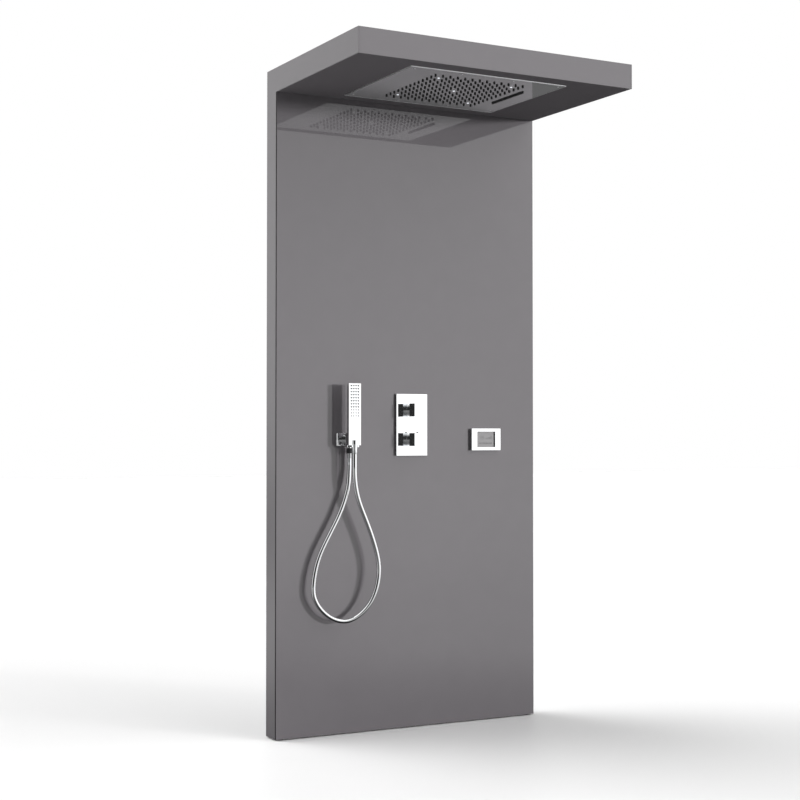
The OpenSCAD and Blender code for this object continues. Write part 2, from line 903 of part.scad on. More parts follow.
module cartridge_nuts() {
  color("goldenrod")
    for (z = [control_z, diverter_z])
      difference() {
        along_y(0, z, housing_y - nut_t, housing_y, nut_r, 6);
        along_y(0, z, housing_y - flange_t - fit_gap, housing_y + 1, flange_r + fit_gap);
        along_y(0, z, housing_y - nut_t - 1, housing_y, nose_r + fit_gap);
      }
}

module trim_gasket() {
  half_w = trim_w / 2 - gasket_inset;
  half_h = trim_h / 2 - gasket_inset;
  hole_w = cutout_w / 2 + gasket_rim;
  hole_h = cutout_h / 2 + gasket_rim;
  color("dimgray")
    difference() {
      block([-half_w, trim_back_y, valve_z - half_h], [half_w, front_y, valve_z + half_h]);
      block([-hole_w, trim_back_y - 1, valve_z - hole_h], [hole_w, front_y + 1, valve_z + hole_h]);
    }
}

module trim_plate() {
  color("white")
    difference() {
      block([-trim_w / 2, trim_front_y, valve_z - trim_h / 2],
            [trim_w / 2, trim_back_y, valve_z + trim_h / 2]);
      for (z = [control_z, diverter_z])
        along_y(0, z, trim_front_y - 1, trim_back_y + 1, nose_r + fit_gap);
    }
}

module trim_sleeves() {
  color("white")
    for (z = [control_z, diverter_z])
      difference() {
        along_y(0, z, sleeve_front_y, trim_front_y, sleeve_r);
        along_y(0, z, sleeve_front_y - 1, trim_front_y + 1, nose_r + fit_gap);
      }
}

module spindle(z) {
  along_y(0, z, spindle_tip_y, spindle_back_y - 1, spindle_r);
}

// A square knob, bored for its spindle and for the grub screw under it
module knob(z) {
  difference() {
    block([-knob_s / 2, knob_front_y, z - knob_s / 2], [knob_s / 2, knob_back_y, z + knob_s / 2]);
    along_y(0, z, spindle_tip_y, knob_back_y + 1, spindle_r + run_gap);
    translate([0, grub_y, z - knob_s / 2 - 1])
      cylinder(r = grub_r + run_gap, h = knob_s / 2 + 1, $fn = 24);
  }
}

module grub_screw(z) {
  translate([0, grub_y, z - knob_s / 2 + 0.5])
    cylinder(r = grub_r, h = knob_s / 2 - 0.5 - spindle_r - run_gap, $fn = 24);
}

module diverter_spindle() {
  color("silver")
    spindle(diverter_z);
}

module diverter_knob() {
  color("white")
    knob(diverter_z);
}

module diverter_grub_screw() {
  color("silver")
    grub_screw(diverter_z);
}

module thermostat_spindle() {
  color("silver")
    spindle(control_z);
}

// The thermostat's knob also has the button's well in its top face
module thermostat_knob() {
  color("white")
    difference() {
      knob(control_z);
      translate([0, button_y, control_z + button_floor_z])
        cylinder(r = button_r + run_gap, h = knob_s);
    }
}

module thermostat_grub_screw() {
  color("silver")
    grub_screw(control_z);
}

module safety_button() {
  color("silver")
    translate([0, button_y, control_z + knob_s / 2 + button_proud - button_len])
      cylinder(r = button_r, h = button_len);
}

// The button's return spring, an open helix between the well's floor and the button
module button_spring() {
  low = control_z + button_floor_z + spring_wire_r;
  high = control_z + knob_s / 2 + button_proud - button_len - spring_wire_r;
  steps = 16 * spring_turns;
  color("silver")
    swept_tube([
      for (i = [0:steps])
        [spring_r * cos(360 * i / 16), button_y + spring_r * sin(360 * i / 16),
         low + (high - low) * i / steps]
    ], [0, 0, 1], spring_wire_r, 6);
}

// The brass elbow behind the sheet, with a tail that carries the bracket in front of it
module outlet_elbow() {
  color("goldenrod")
    difference() {
      union() {
        along_y(bracket_x, control_z, elbow_front_y, elbow_back_y, elbow_body_r);
        along_y(bracket_x, control_z, tail_front_y, elbow_front_y, tail_r);
        rod([bracket_x, port_y, control_z], [bracket_x + elbow_port, port_y, control_z], elbow_r);
      }
      along_y(bracket_x, control_z, tail_front_y - 1, port_y, elbow_bore_r);
    }
}

module outlet_backnut() {
  color("goldenrod")
    difference() {
      along_y(bracket_x, control_z, bar_front_y, elbow_front_y, backnut_r, 6);
      along_y(bracket_x, control_z, bar_front_y - 1, elbow_front_y + 1, tail_r + fit_gap);
    }
}

// The round sleeve on the sheet, with the outlet boss that points down under it
module bracket_sleeve() {
  color("white")
    difference() {
      union() {
        along_y(bracket_x, control_z, bracket_front_y, front_y, bracket_r);
        translate([bracket_x, outlet_y, control_z + outlet_boss_low])
          cylinder(r = outlet_boss_r, h = bracket_r);
      }
      along_y(bracket_x, control_z, tail_front_y - 2, front_y + 1, tail_r + fit_gap);
      translate([bracket_x, outlet_y, control_z + outlet_boss_low - 1])
        cylinder(r = outlet_bore_r, h = bracket_r);
    }
}

// A square block with a fork at its foot, open to the front for the hose
module bracket_fork() {
  half = bracket_r + block_side;
  slot = hose_r + fork_slot_gap;
  low = control_z + fork_top - fork_t;
  color("white")
    difference() {
      union() {
        block([bracket_x - half, block_face_y, low], [bracket_x + half, bracket_front_y, control_z + half]);
        block([bracket_x - fork_half, boss_y - fork_reach, low],
              [bracket_x + fork_half, block_face_y + eps, control_z + fork_top]);
      }
      translate([bracket_x, boss_y, low - eps])
        cylinder(r1 = taper_r(low - control_z) + seat_gap, r2 = taper_r(fork_top) + seat_gap,
                 h = fork_t + 2 * eps);
      block([bracket_x - slot, boss_y - fork_reach - 1, low - 1],
            [bracket_x + slot, boss_y, control_z + fork_top + 1]);
    }
}

// Radius of the hand shower's tapered boss at a height over the bracket's axis
function taper_r(h) =
  boss_low_r + (boss_high_r - boss_low_r) * (h - boss_low) / (boss_taper_top - boss_low);

// The nut under the outlet, with a ferrule that narrows to the hose
module outlet_hose_nut() {
  low = control_z + outlet_nut_low;
  color("silver")
    difference() {
      union() {
        translate([bracket_x, outlet_y, low])
          cylinder(r = outlet_nut_r, h = outlet_nut_h);
        translate([bracket_x, outlet_y, low - ferrule_h])
          cylinder(r1 = hose_r + 0.3, r2 = outlet_nut_r, h = ferrule_h);
      }
      translate([bracket_x, outlet_y, control_z + outlet_boss_low])
        cylinder(r = outlet_boss_r + fit_gap, h = outlet_nut_h);
    }
}

module hose() {
  color("silver")
    swept_tube(smooth(hose_points, 2), [0, 1, 0], hose_r, hose_sides);
}

module handset_cone_nut() {
  color("silver")
    translate([bracket_x, boss_y, control_z + cone_nut_low])
      cylinder(r1 = hose_r + 0.5, r2 = boss_low_r, h = cone_nut_h);
}

// The hand shower: a flat bar with a tapered boss at its foot and a pocket for the spray face
module handset_body() {
  pocket_w = spray_plate_w + 2 * run_gap;
  pocket_h = spray_plate_h + 2 * run_gap;
  depth = spray_plate_t + spray_mat_t;
  color("white")
    difference() {
      union() {
        block([bracket_x - hand_w / 2, hand_y - hand_t / 2, hand_z],
              [bracket_x + hand_w / 2, hand_y + hand_t / 2, hand_z + hand_len]);
        translate([bracket_x, boss_y, control_z + boss_low])
          cylinder(r1 = boss_low_r, r2 = boss_high_r, h = boss_taper_top - boss_low);
        translate([bracket_x, boss_y, control_z + boss_taper_top])
          cylinder(r = boss_high_r, h = boss_top - boss_taper_top);
      }
      translate([bracket_x - pocket_w / 2, hand_y - hand_t / 2 - 1, spray_mid_z - pocket_h / 2])
        cube([pocket_w, depth + 1, pocket_h]);
    }
}

module spray_dots(from_y, to_y, r) {
  for (i = [0:spray_cols - 1], j = [0:spray_rows - 1])
    along_y(bracket_x + (i - (spray_cols - 1) / 2) * spray_col_pitch,
            spray_mid_z + (j - (spray_rows - 1) / 2) * spray_pitch, from_y, to_y, r, 16);
}

module handset_spray_face() {
  front = hand_y - hand_t / 2;
  color("white")
    difference() {
      block([bracket_x - spray_plate_w / 2, front, spray_mid_z - spray_plate_h / 2],
            [bracket_x + spray_plate_w / 2, front + spray_plate_t, spray_mid_z + spray_plate_h / 2]);
      spray_dots(front - 1, front + spray_plate_t + 1, spray_hole_r);
    }
}

module handset_nozzles() {
  front = hand_y - hand_t / 2;
  color("dimgray") {
    block([bracket_x - spray_plate_w / 2, front + spray_plate_t, spray_mid_z - spray_plate_h / 2],
          [bracket_x + spray_plate_w / 2, front + spray_plate_t + spray_mat_t,
           spray_mid_z + spray_plate_h / 2]);
    spray_dots(front - spray_proud, front + spray_plate_t, spray_r);
  }
}

// The control's frame, with a window and a shallow pocket behind it for the screen
module control_frame() {
  pocket_w = window_w + 2 * screen_margin;
  pocket_h = window_h + 2 * screen_margin;
  color("white")
    difference() {
      block([control_x - control_w / 2, front_y - control_t, control_z - control_fh / 2],
            [control_x + control_w / 2, front_y, control_z + control_fh / 2]);
      block([control_x - window_w / 2, front_y - control_t - 1, control_z - window_h / 2],
            [control_x + window_w / 2, front_y + 1, control_z + window_h / 2]);
      block([control_x - pocket_w / 2, front_y - control_t + window_recess, control_z - pocket_h / 2],
            [control_x + pocket_w / 2, front_y + 1, control_z + pocket_h / 2]);
    }
}

module control_screen() {
  half_w = window_w / 2 + screen_margin - fit_gap;
  half_h = window_h / 2 + screen_margin - fit_gap;
  screen_y = front_y - control_t + window_recess;
  color("darkgray")
    block([control_x - half_w, screen_y, control_z - half_h],
          [control_x + half_w, screen_y + screen_t, control_z + half_h]);
}

module control_box() {
  color("dimgray")
    difference() {
      block([control_x - box_w / 2, front_y, control_z - box_h / 2],
            [control_x + box_w / 2, box_back_y, control_z + box_h / 2]);
      block([control_x - box_w / 2 + box_wall, front_y - 1, control_z - box_h / 2 + box_wall],
            [control_x + box_w / 2 - box_wall, box_back_y - box_wall,
             control_z + box_h / 2 - box_wall]);
    }
}

module transformer() {
  color("dimgray")
    block([transformer_x - transformer_w / 2, bar_back_y, transformer_z - transformer_h / 2],
          [transformer_x + transformer_w / 2, bar_back_y + transformer_d,
           transformer_z + transformer_h / 2]);
}

// The mains cable's entry under the transformer
module cable_gland() {
  top = transformer_z - transformer_h / 2;
  color("black")
    translate([transformer_x, cable_y, top - gland_len])
      difference() {
        union() {
          cylinder(r = gland_body_r, h = gland_len);
          translate([0, 0, gland_len - gland_hex_t])
            cylinder(r = gland_hex_r, h = gland_hex_t, $fn = 6);
        }
        translate([0, 0, -1])
          cylinder(r = gland_r, h = gland_len + 2);
      }
}

// Low-voltage cables: one to the control, one up to the lamps' loom
module wiring() {
  start_z = transformer_z + transformer_h / 2;
  drop_z = under_z + lamp_top;
  color("black") {
    pipe_run([
      [screen_cable_x, cable_y, start_z], [screen_cable_x, cable_y, screen_loop_z],
      [control_x, cable_y, screen_loop_z], [control_x, cable_y, control_z],
      [control_x, box_back_y, control_z]
    ], cable_r, cable_bend);
    pipe_run([
      [lamp_cable_x, cable_y, start_z], [lamp_cable_x, cable_y, cable_top_z],
      [lamp_cable_x, head_y, cable_top_z], [0, head_y, cable_top_z], [0, head_y, drop_z]
    ], cable_r, cable_bend);
    both_sides()
      pipe_run([
        [lamp_x, head_y - lamp_x, drop_z], [lamp_x, head_y - lamp_x, cable_top_z],
        [lamp_x, head_y + lamp_x, cable_top_z], [lamp_x, head_y + lamp_x, drop_z]
      ], cable_r, cable_bend);
    rod([-lamp_x, head_y, cable_top_z], [0, head_y, cable_top_z], cable_r);
  }
}

// Two risers: from the valve's top to the rain tray, and from its right to the cascade.
// Each steps back behind the crossbars before it rises.
module riser_pipes() {
  valve_top = valve_z + block_h / 2 + riser_port;
  rain_shift_z = valve_top + 36;
  cascade_shift_z = diverter_z + 60;
  riser_bend = min(bend_r, (rear_y - port_y) / 2 - 0.5);
  color("peru") {
    pipe_run([
      [0, port_y, valve_top], [0, port_y, rain_shift_z], [0, rear_y, rain_shift_z],
      [0, rear_y, pipe_top_z], [0, rain_y + elbow_tail, pipe_top_z]
    ], pipe_r, riser_bend);
    pipe_run([
      [port_x, port_y, diverter_z], [riser_x, port_y, diverter_z],
      [riser_x, port_y, cascade_shift_z], [riser_x, rear_y, cascade_shift_z],
      [riser_x, rear_y, pipe_top_z], [riser_x, head_y + elbow_tail, pipe_top_z]
    ], pipe_r, riser_bend);
  }
}

module handset_pipe() {
  down_x = (bracket_x - port_x) / 2;
  color("peru")
    pipe_run([
      [-port_x, port_y, diverter_z], [down_x, port_y, diverter_z],
      [down_x, port_y, control_z], [bracket_x + elbow_port, port_y, control_z]
    ], pipe_r, bend_r);
}

// Clips on the backs of the upper crossbars hold the risers
module pipe_clips() {
  color("dimgray")
    for (x = [0, riser_x], z = [mid_bar_z, hook_z])
      difference() {
        block([x - clip_w / 2, bar_back_y, z - clip_h / 2],
              [x + clip_w / 2, rear_y + clip_lap, z + clip_h / 2]);
        translate([x, rear_y, z - clip_h / 2 - 1])
          cylinder(r = pipe_r + fit_gap, h = clip_h + 2);
      }
}

side_cheek_left();
side_cheek_right();
front_sheet();
canopy_fascia();
canopy_soffit();
canopy_cover();
bottom_sill();
frame_upright_left();
frame_upright_right();
frame_crossbars();
canopy_arms();
canopy_crossbars();
corner_gussets();
wall_cleats();
hook_cleats();
frame_bolts();
levelling_feet();
head_face_plate();
nozzle_mat();
head_tray();
led_lamps();
cascade_spout();
head_elbows();
head_screws();
valve_body();
valve_bracket();
inlet_check_valves();
diverter_cartridge();
thermostatic_cartridge();
cartridge_nuts();
trim_gasket();
trim_plate();
trim_sleeves();
diverter_spindle();
diverter_knob();
diverter_grub_screw();
thermostat_spindle();
thermostat_knob();
thermostat_grub_screw();
safety_button();
button_spring();
outlet_elbow();
outlet_backnut();
bracket_sleeve();
bracket_fork();
outlet_hose_nut();
hose();
handset_cone_nut();
handset_body();
handset_nozzles();
handset_spray_face();
control_frame();
control_screen();
control_box();
transformer();
cable_gland();
wiring();
riser_pipes();
handset_pipe();
pipe_clips();
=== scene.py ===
import logging
import math
from dataclasses import dataclass, field, replace
from enum import Enum
from typing import ClassVar, Sequence

import bmesh
import bpy
from mathutils import Matrix, Vector


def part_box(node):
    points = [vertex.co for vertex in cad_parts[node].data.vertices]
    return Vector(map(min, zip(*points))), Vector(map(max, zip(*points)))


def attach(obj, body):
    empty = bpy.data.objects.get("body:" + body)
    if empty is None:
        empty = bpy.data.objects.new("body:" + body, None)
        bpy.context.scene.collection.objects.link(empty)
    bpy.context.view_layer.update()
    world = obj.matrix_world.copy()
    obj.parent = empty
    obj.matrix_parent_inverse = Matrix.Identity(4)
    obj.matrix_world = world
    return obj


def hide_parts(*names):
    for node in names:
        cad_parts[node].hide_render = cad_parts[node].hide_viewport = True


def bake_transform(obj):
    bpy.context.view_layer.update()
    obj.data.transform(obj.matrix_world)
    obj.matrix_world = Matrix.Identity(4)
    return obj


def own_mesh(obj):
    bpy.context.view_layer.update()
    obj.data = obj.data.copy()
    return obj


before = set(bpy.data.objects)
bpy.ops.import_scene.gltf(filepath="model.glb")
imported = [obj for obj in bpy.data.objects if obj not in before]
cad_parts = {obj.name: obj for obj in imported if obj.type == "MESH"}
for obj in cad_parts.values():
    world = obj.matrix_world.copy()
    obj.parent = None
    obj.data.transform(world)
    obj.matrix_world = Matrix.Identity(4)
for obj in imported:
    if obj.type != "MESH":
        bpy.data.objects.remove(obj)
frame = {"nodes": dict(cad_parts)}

LOG = logging.getLogger("shower_set")
MM = 0.001
WHITE = (1.0, 1.0, 1.0, 1.0)
# A wave texture at scale 1 has a line every 0.314 of a unit.
WAVE_PITCH = 0.314


class Body(Enum):
    """The bodies that a piece can ride on."""

    CASING = "casing"
    DIVERTER = "diverter"
    THERMOSTAT = "thermostat"
    BUTTON = "button"
    HANDSET = "handset"


class Slot(Enum):
    """The record's material slots."""

    PAINTED_GREY = "painted_grey"
    LAMINATE_GREY = "laminate_grey"
    GALVANISED = "galvanised"
    POLISHED_STEEL = "polished_steel"
    STEEL_SHEET = "steel_sheet"
    CHROME = "chrome"
    BRASS = "brass"
    COPPER = "copper"
    SILICONE = "silicone"
    BLACK_PLASTIC = "black_plastic"
    WHITE_PLASTIC = "white_plastic"
    LENS = "lens"
    SCREEN = "screen"
    HOSE_SKIN = "hose_skin"


class Axis(Enum):
    """A direction of the part's frame."""

    X = (1.0, 0.0, 0.0)
    Y = (0.0, 1.0, 0.0)
    Z = (0.0, 0.0, 1.0)

    def turn(self) -> Matrix:
        """Returns the rotation that lays the Z axis along this one."""
        return Vector((0, 0, 1)).rotation_difference(Vector(self.value)).to_matrix().to_4x4()


# ---- Colours and shader nodes ----


def linear(code: str) -> tuple[float, float, float, float]:
    """Turns an sRGB hex colour into linear light.

    Args:
        code: six hex digits after a hash.

    Returns:
        Red, green, blue and an alpha of 1.
    """
    parts = [int(code[i:i + 2], 16) / 255 for i in (1, 3, 5)]
    light = [c / 12.92 if c <= 0.04045 else ((c + 0.055) / 1.055) ** 2.4 for c in parts]
    return (light[0], light[1], light[2], 1.0)


def feed(node: bpy.types.Node, inputs: dict) -> None:
    """Fills a node's inputs.

    Args:
        node: the node.
        inputs: for each input a socket to link from, or a value to set.
    """
    for name, value in inputs.items():
        if isinstance(value, bpy.types.NodeSocket):
            node.id_data.links.new(value, node.inputs[name])
        else:
            node.inputs[name].default_value = value


def add_node(tree: bpy.types.NodeTree, kind: str, inputs: dict | None = None,
             **settings: object) -> bpy.types.Node:
    """Adds a shader node with its settings, values and links.

    Args:
        tree: the tree that gets the node.
        kind: the node's Blender type, less the ShaderNode before it.
        inputs: for each input a socket to link from, or a value to set.
        settings: attributes of the node; stops is a list of places and colours for a ramp.

    Returns:
        The new node.
    """
    node = tree.nodes.new("ShaderNode" + kind)
    for name, value in settings.items():
        if name == "stops":
            ramp = node.color_ramp
            for i, (place, colour) in enumerate(value):
                stop = ramp.elements[i] if i < 2 else ramp.elements.new(place)
                stop.position = place
                stop.color = colour
        else:
            setattr(node, name, value)
    feed(node, inputs or {})
    return node


# ---- Finishes ----


@dataclass(frozen=True)
class Patches:
    """Soft patches of a darker colour, of a size, stretched along X, Y and Z."""

    size_mm: float
    darker: str
    stretch: tuple[float, float, float] = (1, 1, 1)


@dataclass(frozen=True)
class Relief:
    """A fine relief: a grain's size and height, how much of it shows, and its stretch."""

    size_mm: float
    depth_mm: float
    strength: float
    stretch: tuple[float, float, float] = (1, 1, 1)


@dataclass(frozen=True)
class Smears:
    """Patches of a size that are duller or glossier than the rest by a spread of roughness."""

    size_mm: float
    spread: float


@dataclass(frozen=True)
class Finish:
    """A surface finish: the material's name, slot, colour, gloss and the marks of its making.

    The sockets are the shader's other constants. A subclass adds what the marks can't show.
    """

    name: str
    slot: Slot
    colour: str
    roughness: float
    metallic: float = 0.0
    ior: float = 1.5
    patches: Patches | None = None
    smears: Smears | None = None
    relief: Relief | None = None
    sockets: dict[str, float] = field(default_factory=dict)

    def noise(self, tree: bpy.types.NodeTree, size_mm: float, detail: float = 2.0,
              stretch: Sequence[float] = (1, 1, 1)) -> bpy.types.NodeSocket:
        """Adds soft noise in the piece's own coordinates.

        Args:
            tree: the material's tree.
            size_mm: the size of one patch or grain.
            detail: how many finer layers it has.
            stretch: the factors along X, Y and Z.

        Returns:
            The socket that gives its level.
        """
        where = add_node(tree, "TexCoord").outputs["Object"]
        mapping = add_node(tree, "Mapping", {"Vector": where, "Scale": stretch})
        return add_node(tree, "TexNoise", {
            "Vector": mapping.outputs["Vector"], "Scale": 1 / (size_mm * MM),
            "Detail": detail}).outputs["Fac"]

    def paint(self, tree: bpy.types.NodeTree, shader: bpy.types.Node) -> None:
        """Adds the finish's patches, smears and relief.

        Args:
            tree: the material's tree.
            shader: its plain shader.
        """
        if self.patches:
            cloud = self.noise(tree, self.patches.size_mm, 3.0, self.patches.stretch)
            tone = add_node(tree, "ValToRGB", {"Fac": cloud}, stops=[
                (0.3, linear(self.patches.darker)), (0.7, linear(self.colour))])
            feed(shader, {"Base Color": tone.outputs["Color"]})
        if self.smears:
            gloss = add_node(tree, "MapRange", {
                "Value": self.noise(tree, self.smears.size_mm), "From Min": 0.3, "From Max": 0.7,
                "To Min": self.roughness - self.smears.spread,
                "To Max": self.roughness + self.smears.spread})
            feed(shader, {"Roughness": gloss.outputs["Result"]})
        if self.relief:
            bump = add_node(tree, "Bump", {
                "Height": self.noise(tree, self.relief.size_mm, 2.0, self.relief.stretch),
                "Distance": self.relief.depth_mm * MM, "Strength": self.relief.strength})
            feed(shader, {"Normal": bump.outputs["Normal"]})

    def material(self) -> bpy.types.Material:
        """Makes the finish's material, at its first use.

        Returns:
            The material.
        """
        found = bpy.data.materials.get(self.name)
        if found is not None:
            return found
        made = bpy.data.materials.new(self.name)
        made.use_nodes = True
        shader = made.node_tree.nodes["Principled BSDF"]
        feed(shader, {"Base Color": linear(self.colour), "Metallic": self.metallic,
                      "Roughness": self.roughness, "IOR": self.ior, **self.sockets})
        self.paint(made.node_tree, shader)
        return made


@dataclass(frozen=True)
class CompactLaminate(Finish):
    """High-pressure laminate: a glossy pressed face, and a black core where it was sawn."""

    core: str = "#131214"
    core_roughness: float = 0.5
    cloud_mm: float = 60.0
    cloud_tone: float = 0.97

    def paint(self, tree: bpy.types.NodeTree, shader: bpy.types.Node) -> None:
        """Tells face from edge by the normal's Y part, as sawn edges face along X or Z.

        Args:
            tree: the material's tree.
            shader: its plain shader.
        """
        normal = add_node(tree, "NewGeometry").outputs["True Normal"]
        parts = add_node(tree, "SeparateXYZ", {"Vector": normal})
        size = add_node(tree, "Math", {0: parts.outputs["Y"]}, operation="ABSOLUTE")
        face = add_node(tree, "Math", {0: size.outputs[0], 1: 0.5},
                        operation="GREATER_THAN").outputs[0]
        # The printed face has broad clouds that hardly differ, as on a pressed sheet.
        printed = linear(self.colour)
        cloud = tuple(self.cloud_tone * c for c in printed[:3]) + (1.0,)
        tone = add_node(tree, "ValToRGB", {"Fac": self.noise(tree, self.cloud_mm, 3.0)},
                        stops=[(0.3, cloud), (0.7, printed)])
        mix = add_node(tree, "Mix", {
            "Factor": face, "A": linear(self.core), "B": tone.outputs["Color"]}, data_type="RGBA")
        gloss = add_node(tree, "MapRange", {
            "Value": face, "To Min": self.core_roughness, "To Max": self.roughness})
        feed(shader, {"Base Color": mix.outputs["Result"], "Coat Weight": face,
                      "Roughness": gloss.outputs["Result"]})


@dataclass(frozen=True)
class GalvanisedSteel(Finish):
    """Hot-dip galvanised tube: zinc crystals, called spangle, 6 to 10 mm across."""

    dullest: str = "#999da0"
    spangle_mm: float = 8.0
    glossier: float = 0.04
    duller: float = 0.05
    height_mm: float = 0.02
    height_shown: float = 0.12

    def paint(self, tree: bpy.types.NodeTree, shader: bpy.types.Node) -> None:
        """Gives each crystal its own tone, gloss and height.

        Args:
            tree: the material's tree.
            shader: its plain shader.
        """
        where = add_node(tree, "TexCoord").outputs["Object"]
        cells = add_node(tree, "TexVoronoi", {
            "Vector": where, "Scale": 1 / (self.spangle_mm * MM), "Randomness": 1.0})
        parts = add_node(tree, "SeparateColor", {"Color": cells.outputs["Color"]})
        tone = add_node(tree, "ValToRGB", {"Fac": parts.outputs["Red"]},
                        stops=[(0.0, linear(self.dullest)), (1.0, linear(self.colour))])
        gloss = add_node(tree, "MapRange", {
            "Value": parts.outputs["Green"], "To Min": self.roughness - self.glossier,
            "To Max": self.roughness + self.duller})
        bump = add_node(tree, "Bump", {
            "Height": parts.outputs["Blue"], "Distance": self.height_mm * MM,
            "Strength": self.height_shown})
        feed(shader, {"Base Color": tone.outputs["Color"], "Normal": bump.outputs["Normal"],
                      "Roughness": gloss.outputs["Result"]})


@dataclass(frozen=True)
class LitLens(Finish):
    """A clear moulded acrylic lens over a white lamp that is on."""

    glow: float = 1.1
    glow_colour: str = "#f4f8ff"
    rim_share: float = 0.25

    def paint(self, tree: bpy.types.NodeTree, shader: bpy.types.Node) -> None:
        """Lights the lens most at its middle, which faces down.

        Args:
            tree: the material's tree.
            shader: its plain shader.
        """
        normal = add_node(tree, "NewGeometry").outputs["Normal"]
        parts = add_node(tree, "SeparateXYZ", {"Vector": normal})
        glow = add_node(tree, "MapRange", {
            "Value": parts.outputs["Z"], "From Min": -1.0, "From Max": -0.2,
            "To Min": self.glow, "To Max": self.rim_share * self.glow})
        feed(shader, {"Emission Color": linear(self.glow_colour),
                      "Emission Strength": glow.outputs["Result"]})


@dataclass(frozen=True)
class Lined(Finish):
    """A finish with fine even lines of another tone across it."""

    pitch_mm: float = 1.0
    line: str = "#ffffff"
    coordinates: str = "Object"
    along: str = "Z"

    def paint(self, tree: bpy.types.NodeTree, shader: bpy.types.Node) -> None:
        """Draws the lines at their real pitch.

        Args:
            tree: the material's tree.
            shader: its plain shader.
        """
        where = add_node(tree, "TexCoord").outputs[self.coordinates]
        wave = add_node(tree, "TexWave", {
            "Vector": where, "Scale": WAVE_PITCH / (self.pitch_mm * MM)},
            bands_direction=self.along)
        tone = add_node(tree, "ValToRGB", {"Fac": wave.outputs["Fac"]},
                        stops=[(0.0, linear(self.line)), (1.0, linear(self.colour))])
        feed(shader, {"Base Color": tone.outputs["Color"]})


# Printed paper pressed under clear resin has a deep even gloss. The sawn edge is black and dull.
LAMINATE = CompactLaminate(
    "gloss_compact_laminate", Slot.LAMINATE_GREY, "#646164", 0.12,
    sockets={"Specular IOR Level": 0.1, "Coat Roughness": 0.0, "Coat IOR": 1.5})
# Lacquer sprayed on aluminium sheet and stoved has an even satin gloss. The spray leaves clouds
# of some 60 mm that hardly differ in tone. The soffit's lacquer is matt.
PAINT = Finish(
    "stoved_satin_lacquer", Slot.PAINTED_GREY, "#676467", 0.3, patches=Patches(60, "#666366"),
    sockets={"Specular IOR Level": 0.4, "Coat Weight": 0.5, "Coat Roughness": 0.25})
# The fascia's copy of the lacquer, clouds too, is a little darker than the cheeks': painted shade,
# to offset the key lamp, which lights the front and not the side cheeks.
SHADED_FASCIA_PAINT = replace(PAINT, name="stoved_satin_lacquer_front_painted_shade", colour="#656265",
                       patches=Patches(60, "#646164"))
MATT_PAINT = replace(PAINT, name="stoved_matt_lacquer", roughness=0.8,
                     sockets={"Specular IOR Level": 0.05, "Coat Roughness": 0.25})
# Stainless sheet polished to a mirror on a belt has straight lines along X. They are drawn
# 0.4 mm apart, coarser than in life, so that they show. Its ground edge is dull.
MIRROR_STEEL = Finish(
    "mirror_polished_stainless", Slot.POLISHED_STEEL, "#e9eaeb", 0.04, 1.0,
    smears=Smears(70, 0.02), relief=Relief(0.4, 0.004, 0.2, (0.02, 1, 1)))
EDGE_STEEL = replace(MIRROR_STEEL, name="ground_stainless_edge", colour="#d3d4d5", roughness=0.42)
# Bright chrome on polished brass is a mirror with shallow waves some 12 mm across from the
# polishing, and faint smears from wiping.
CHROME = Finish("bright_chrome_plate", Slot.CHROME, "#f1f2f3", 0.04, 1.0,
                smears=Smears(25, 0.015), relief=Relief(12, 0.02, 0.12))
# Steel dipped in molten zinc is dull grey, with crystals that catch the light one by one.
ZINC = GalvanisedSteel("galvanised_steel", Slot.GALVANISED, "#a9adb0", 0.42, 0.85)
# Stainless sheet as rolled is grey, with soft lines, drawn 0.8 mm apart so that they show.
SHEET = Finish("rolled_stainless_sheet", Slot.STEEL_SHEET, "#a3a5a8", 0.3, 1.0,
               patches=Patches(30, "#85878a"), relief=Relief(0.8, 0.01, 0.3, (0.03, 1, 1)))
# Brass cast in sand has a warm skin with pits of about 0.7 mm and dull patches.
BRASS = Finish("cast_brass", Slot.BRASS, "#b9944f", 0.32, 1.0,
               patches=Patches(15, "#8f7138"), relief=Relief(0.7, 0.08, 0.35))
# Half-hard copper pipe has draw lines, 0.5 mm apart, and blotches of brown tarnish.
COPPER = Finish("drawn_copper", Slot.COPPER, "#b5694b", 0.3, 1.0,
                patches=Patches(25, "#7e4630", (1, 1, 0.4)),
                relief=Relief(0.5, 0.01, 0.25, (1, 1, 0.03)))
# Moulded silicone rubber is matt, with a soft bloom in patches of some 10 mm.
SILICONE = Finish("moulded_silicone", Slot.SILICONE, "#1d1d1e", 0.6, ior=1.41,
                  patches=Patches(10, "#131314"), sockets={"Sheen Weight": 0.1})
# Moulded plastics have a spark-eroded grain of about 0.2 mm, drawn coarser so that it shows.
BLACK_ABS = Finish("moulded_black_abs", Slot.BLACK_PLASTIC, "#1b1b1d", 0.45, ior=1.53,
                   smears=Smears(30, 0.05), relief=Relief(0.5, 0.03, 0.3))
# An extruded vinyl sheath is smoother than moulded plastic.
CABLE_PVC = replace(BLACK_ABS, name="extruded_cable_pvc", colour="#19191a", roughness=0.4)
# Moulded acetal is a waxy white.
ACETAL = replace(BLACK_ABS, name="moulded_white_acetal", slot=Slot.WHITE_PLASTIC,
                 colour="#dedcd4", roughness=0.35, ior=1.48)
# The marks of a liquid-crystal display are grey, a little darker than its ground.
INK = replace(BLACK_ABS, name="display_segments", slot=Slot.SCREEN, colour="#6c6b6c",
              roughness=0.4, ior=1.5)
# Clear acrylic from a polished mould is a smooth, bright dome over the lamp's white.
LENS = LitLens("acrylic_lamp_lens", Slot.LENS, "#eef1f4", 0.1, ior=1.49)
# Float glass over a dimmed liquid-crystal display: its cells show as lines 0.5 mm apart.
DISPLAY = Lined("display_glass", Slot.SCREEN, "#747274", 0.2, ior=1.52, pitch_mm=0.5,
                line="#818081", sockets={"Coat Weight": 1.0, "Coat Roughness": 0.01})
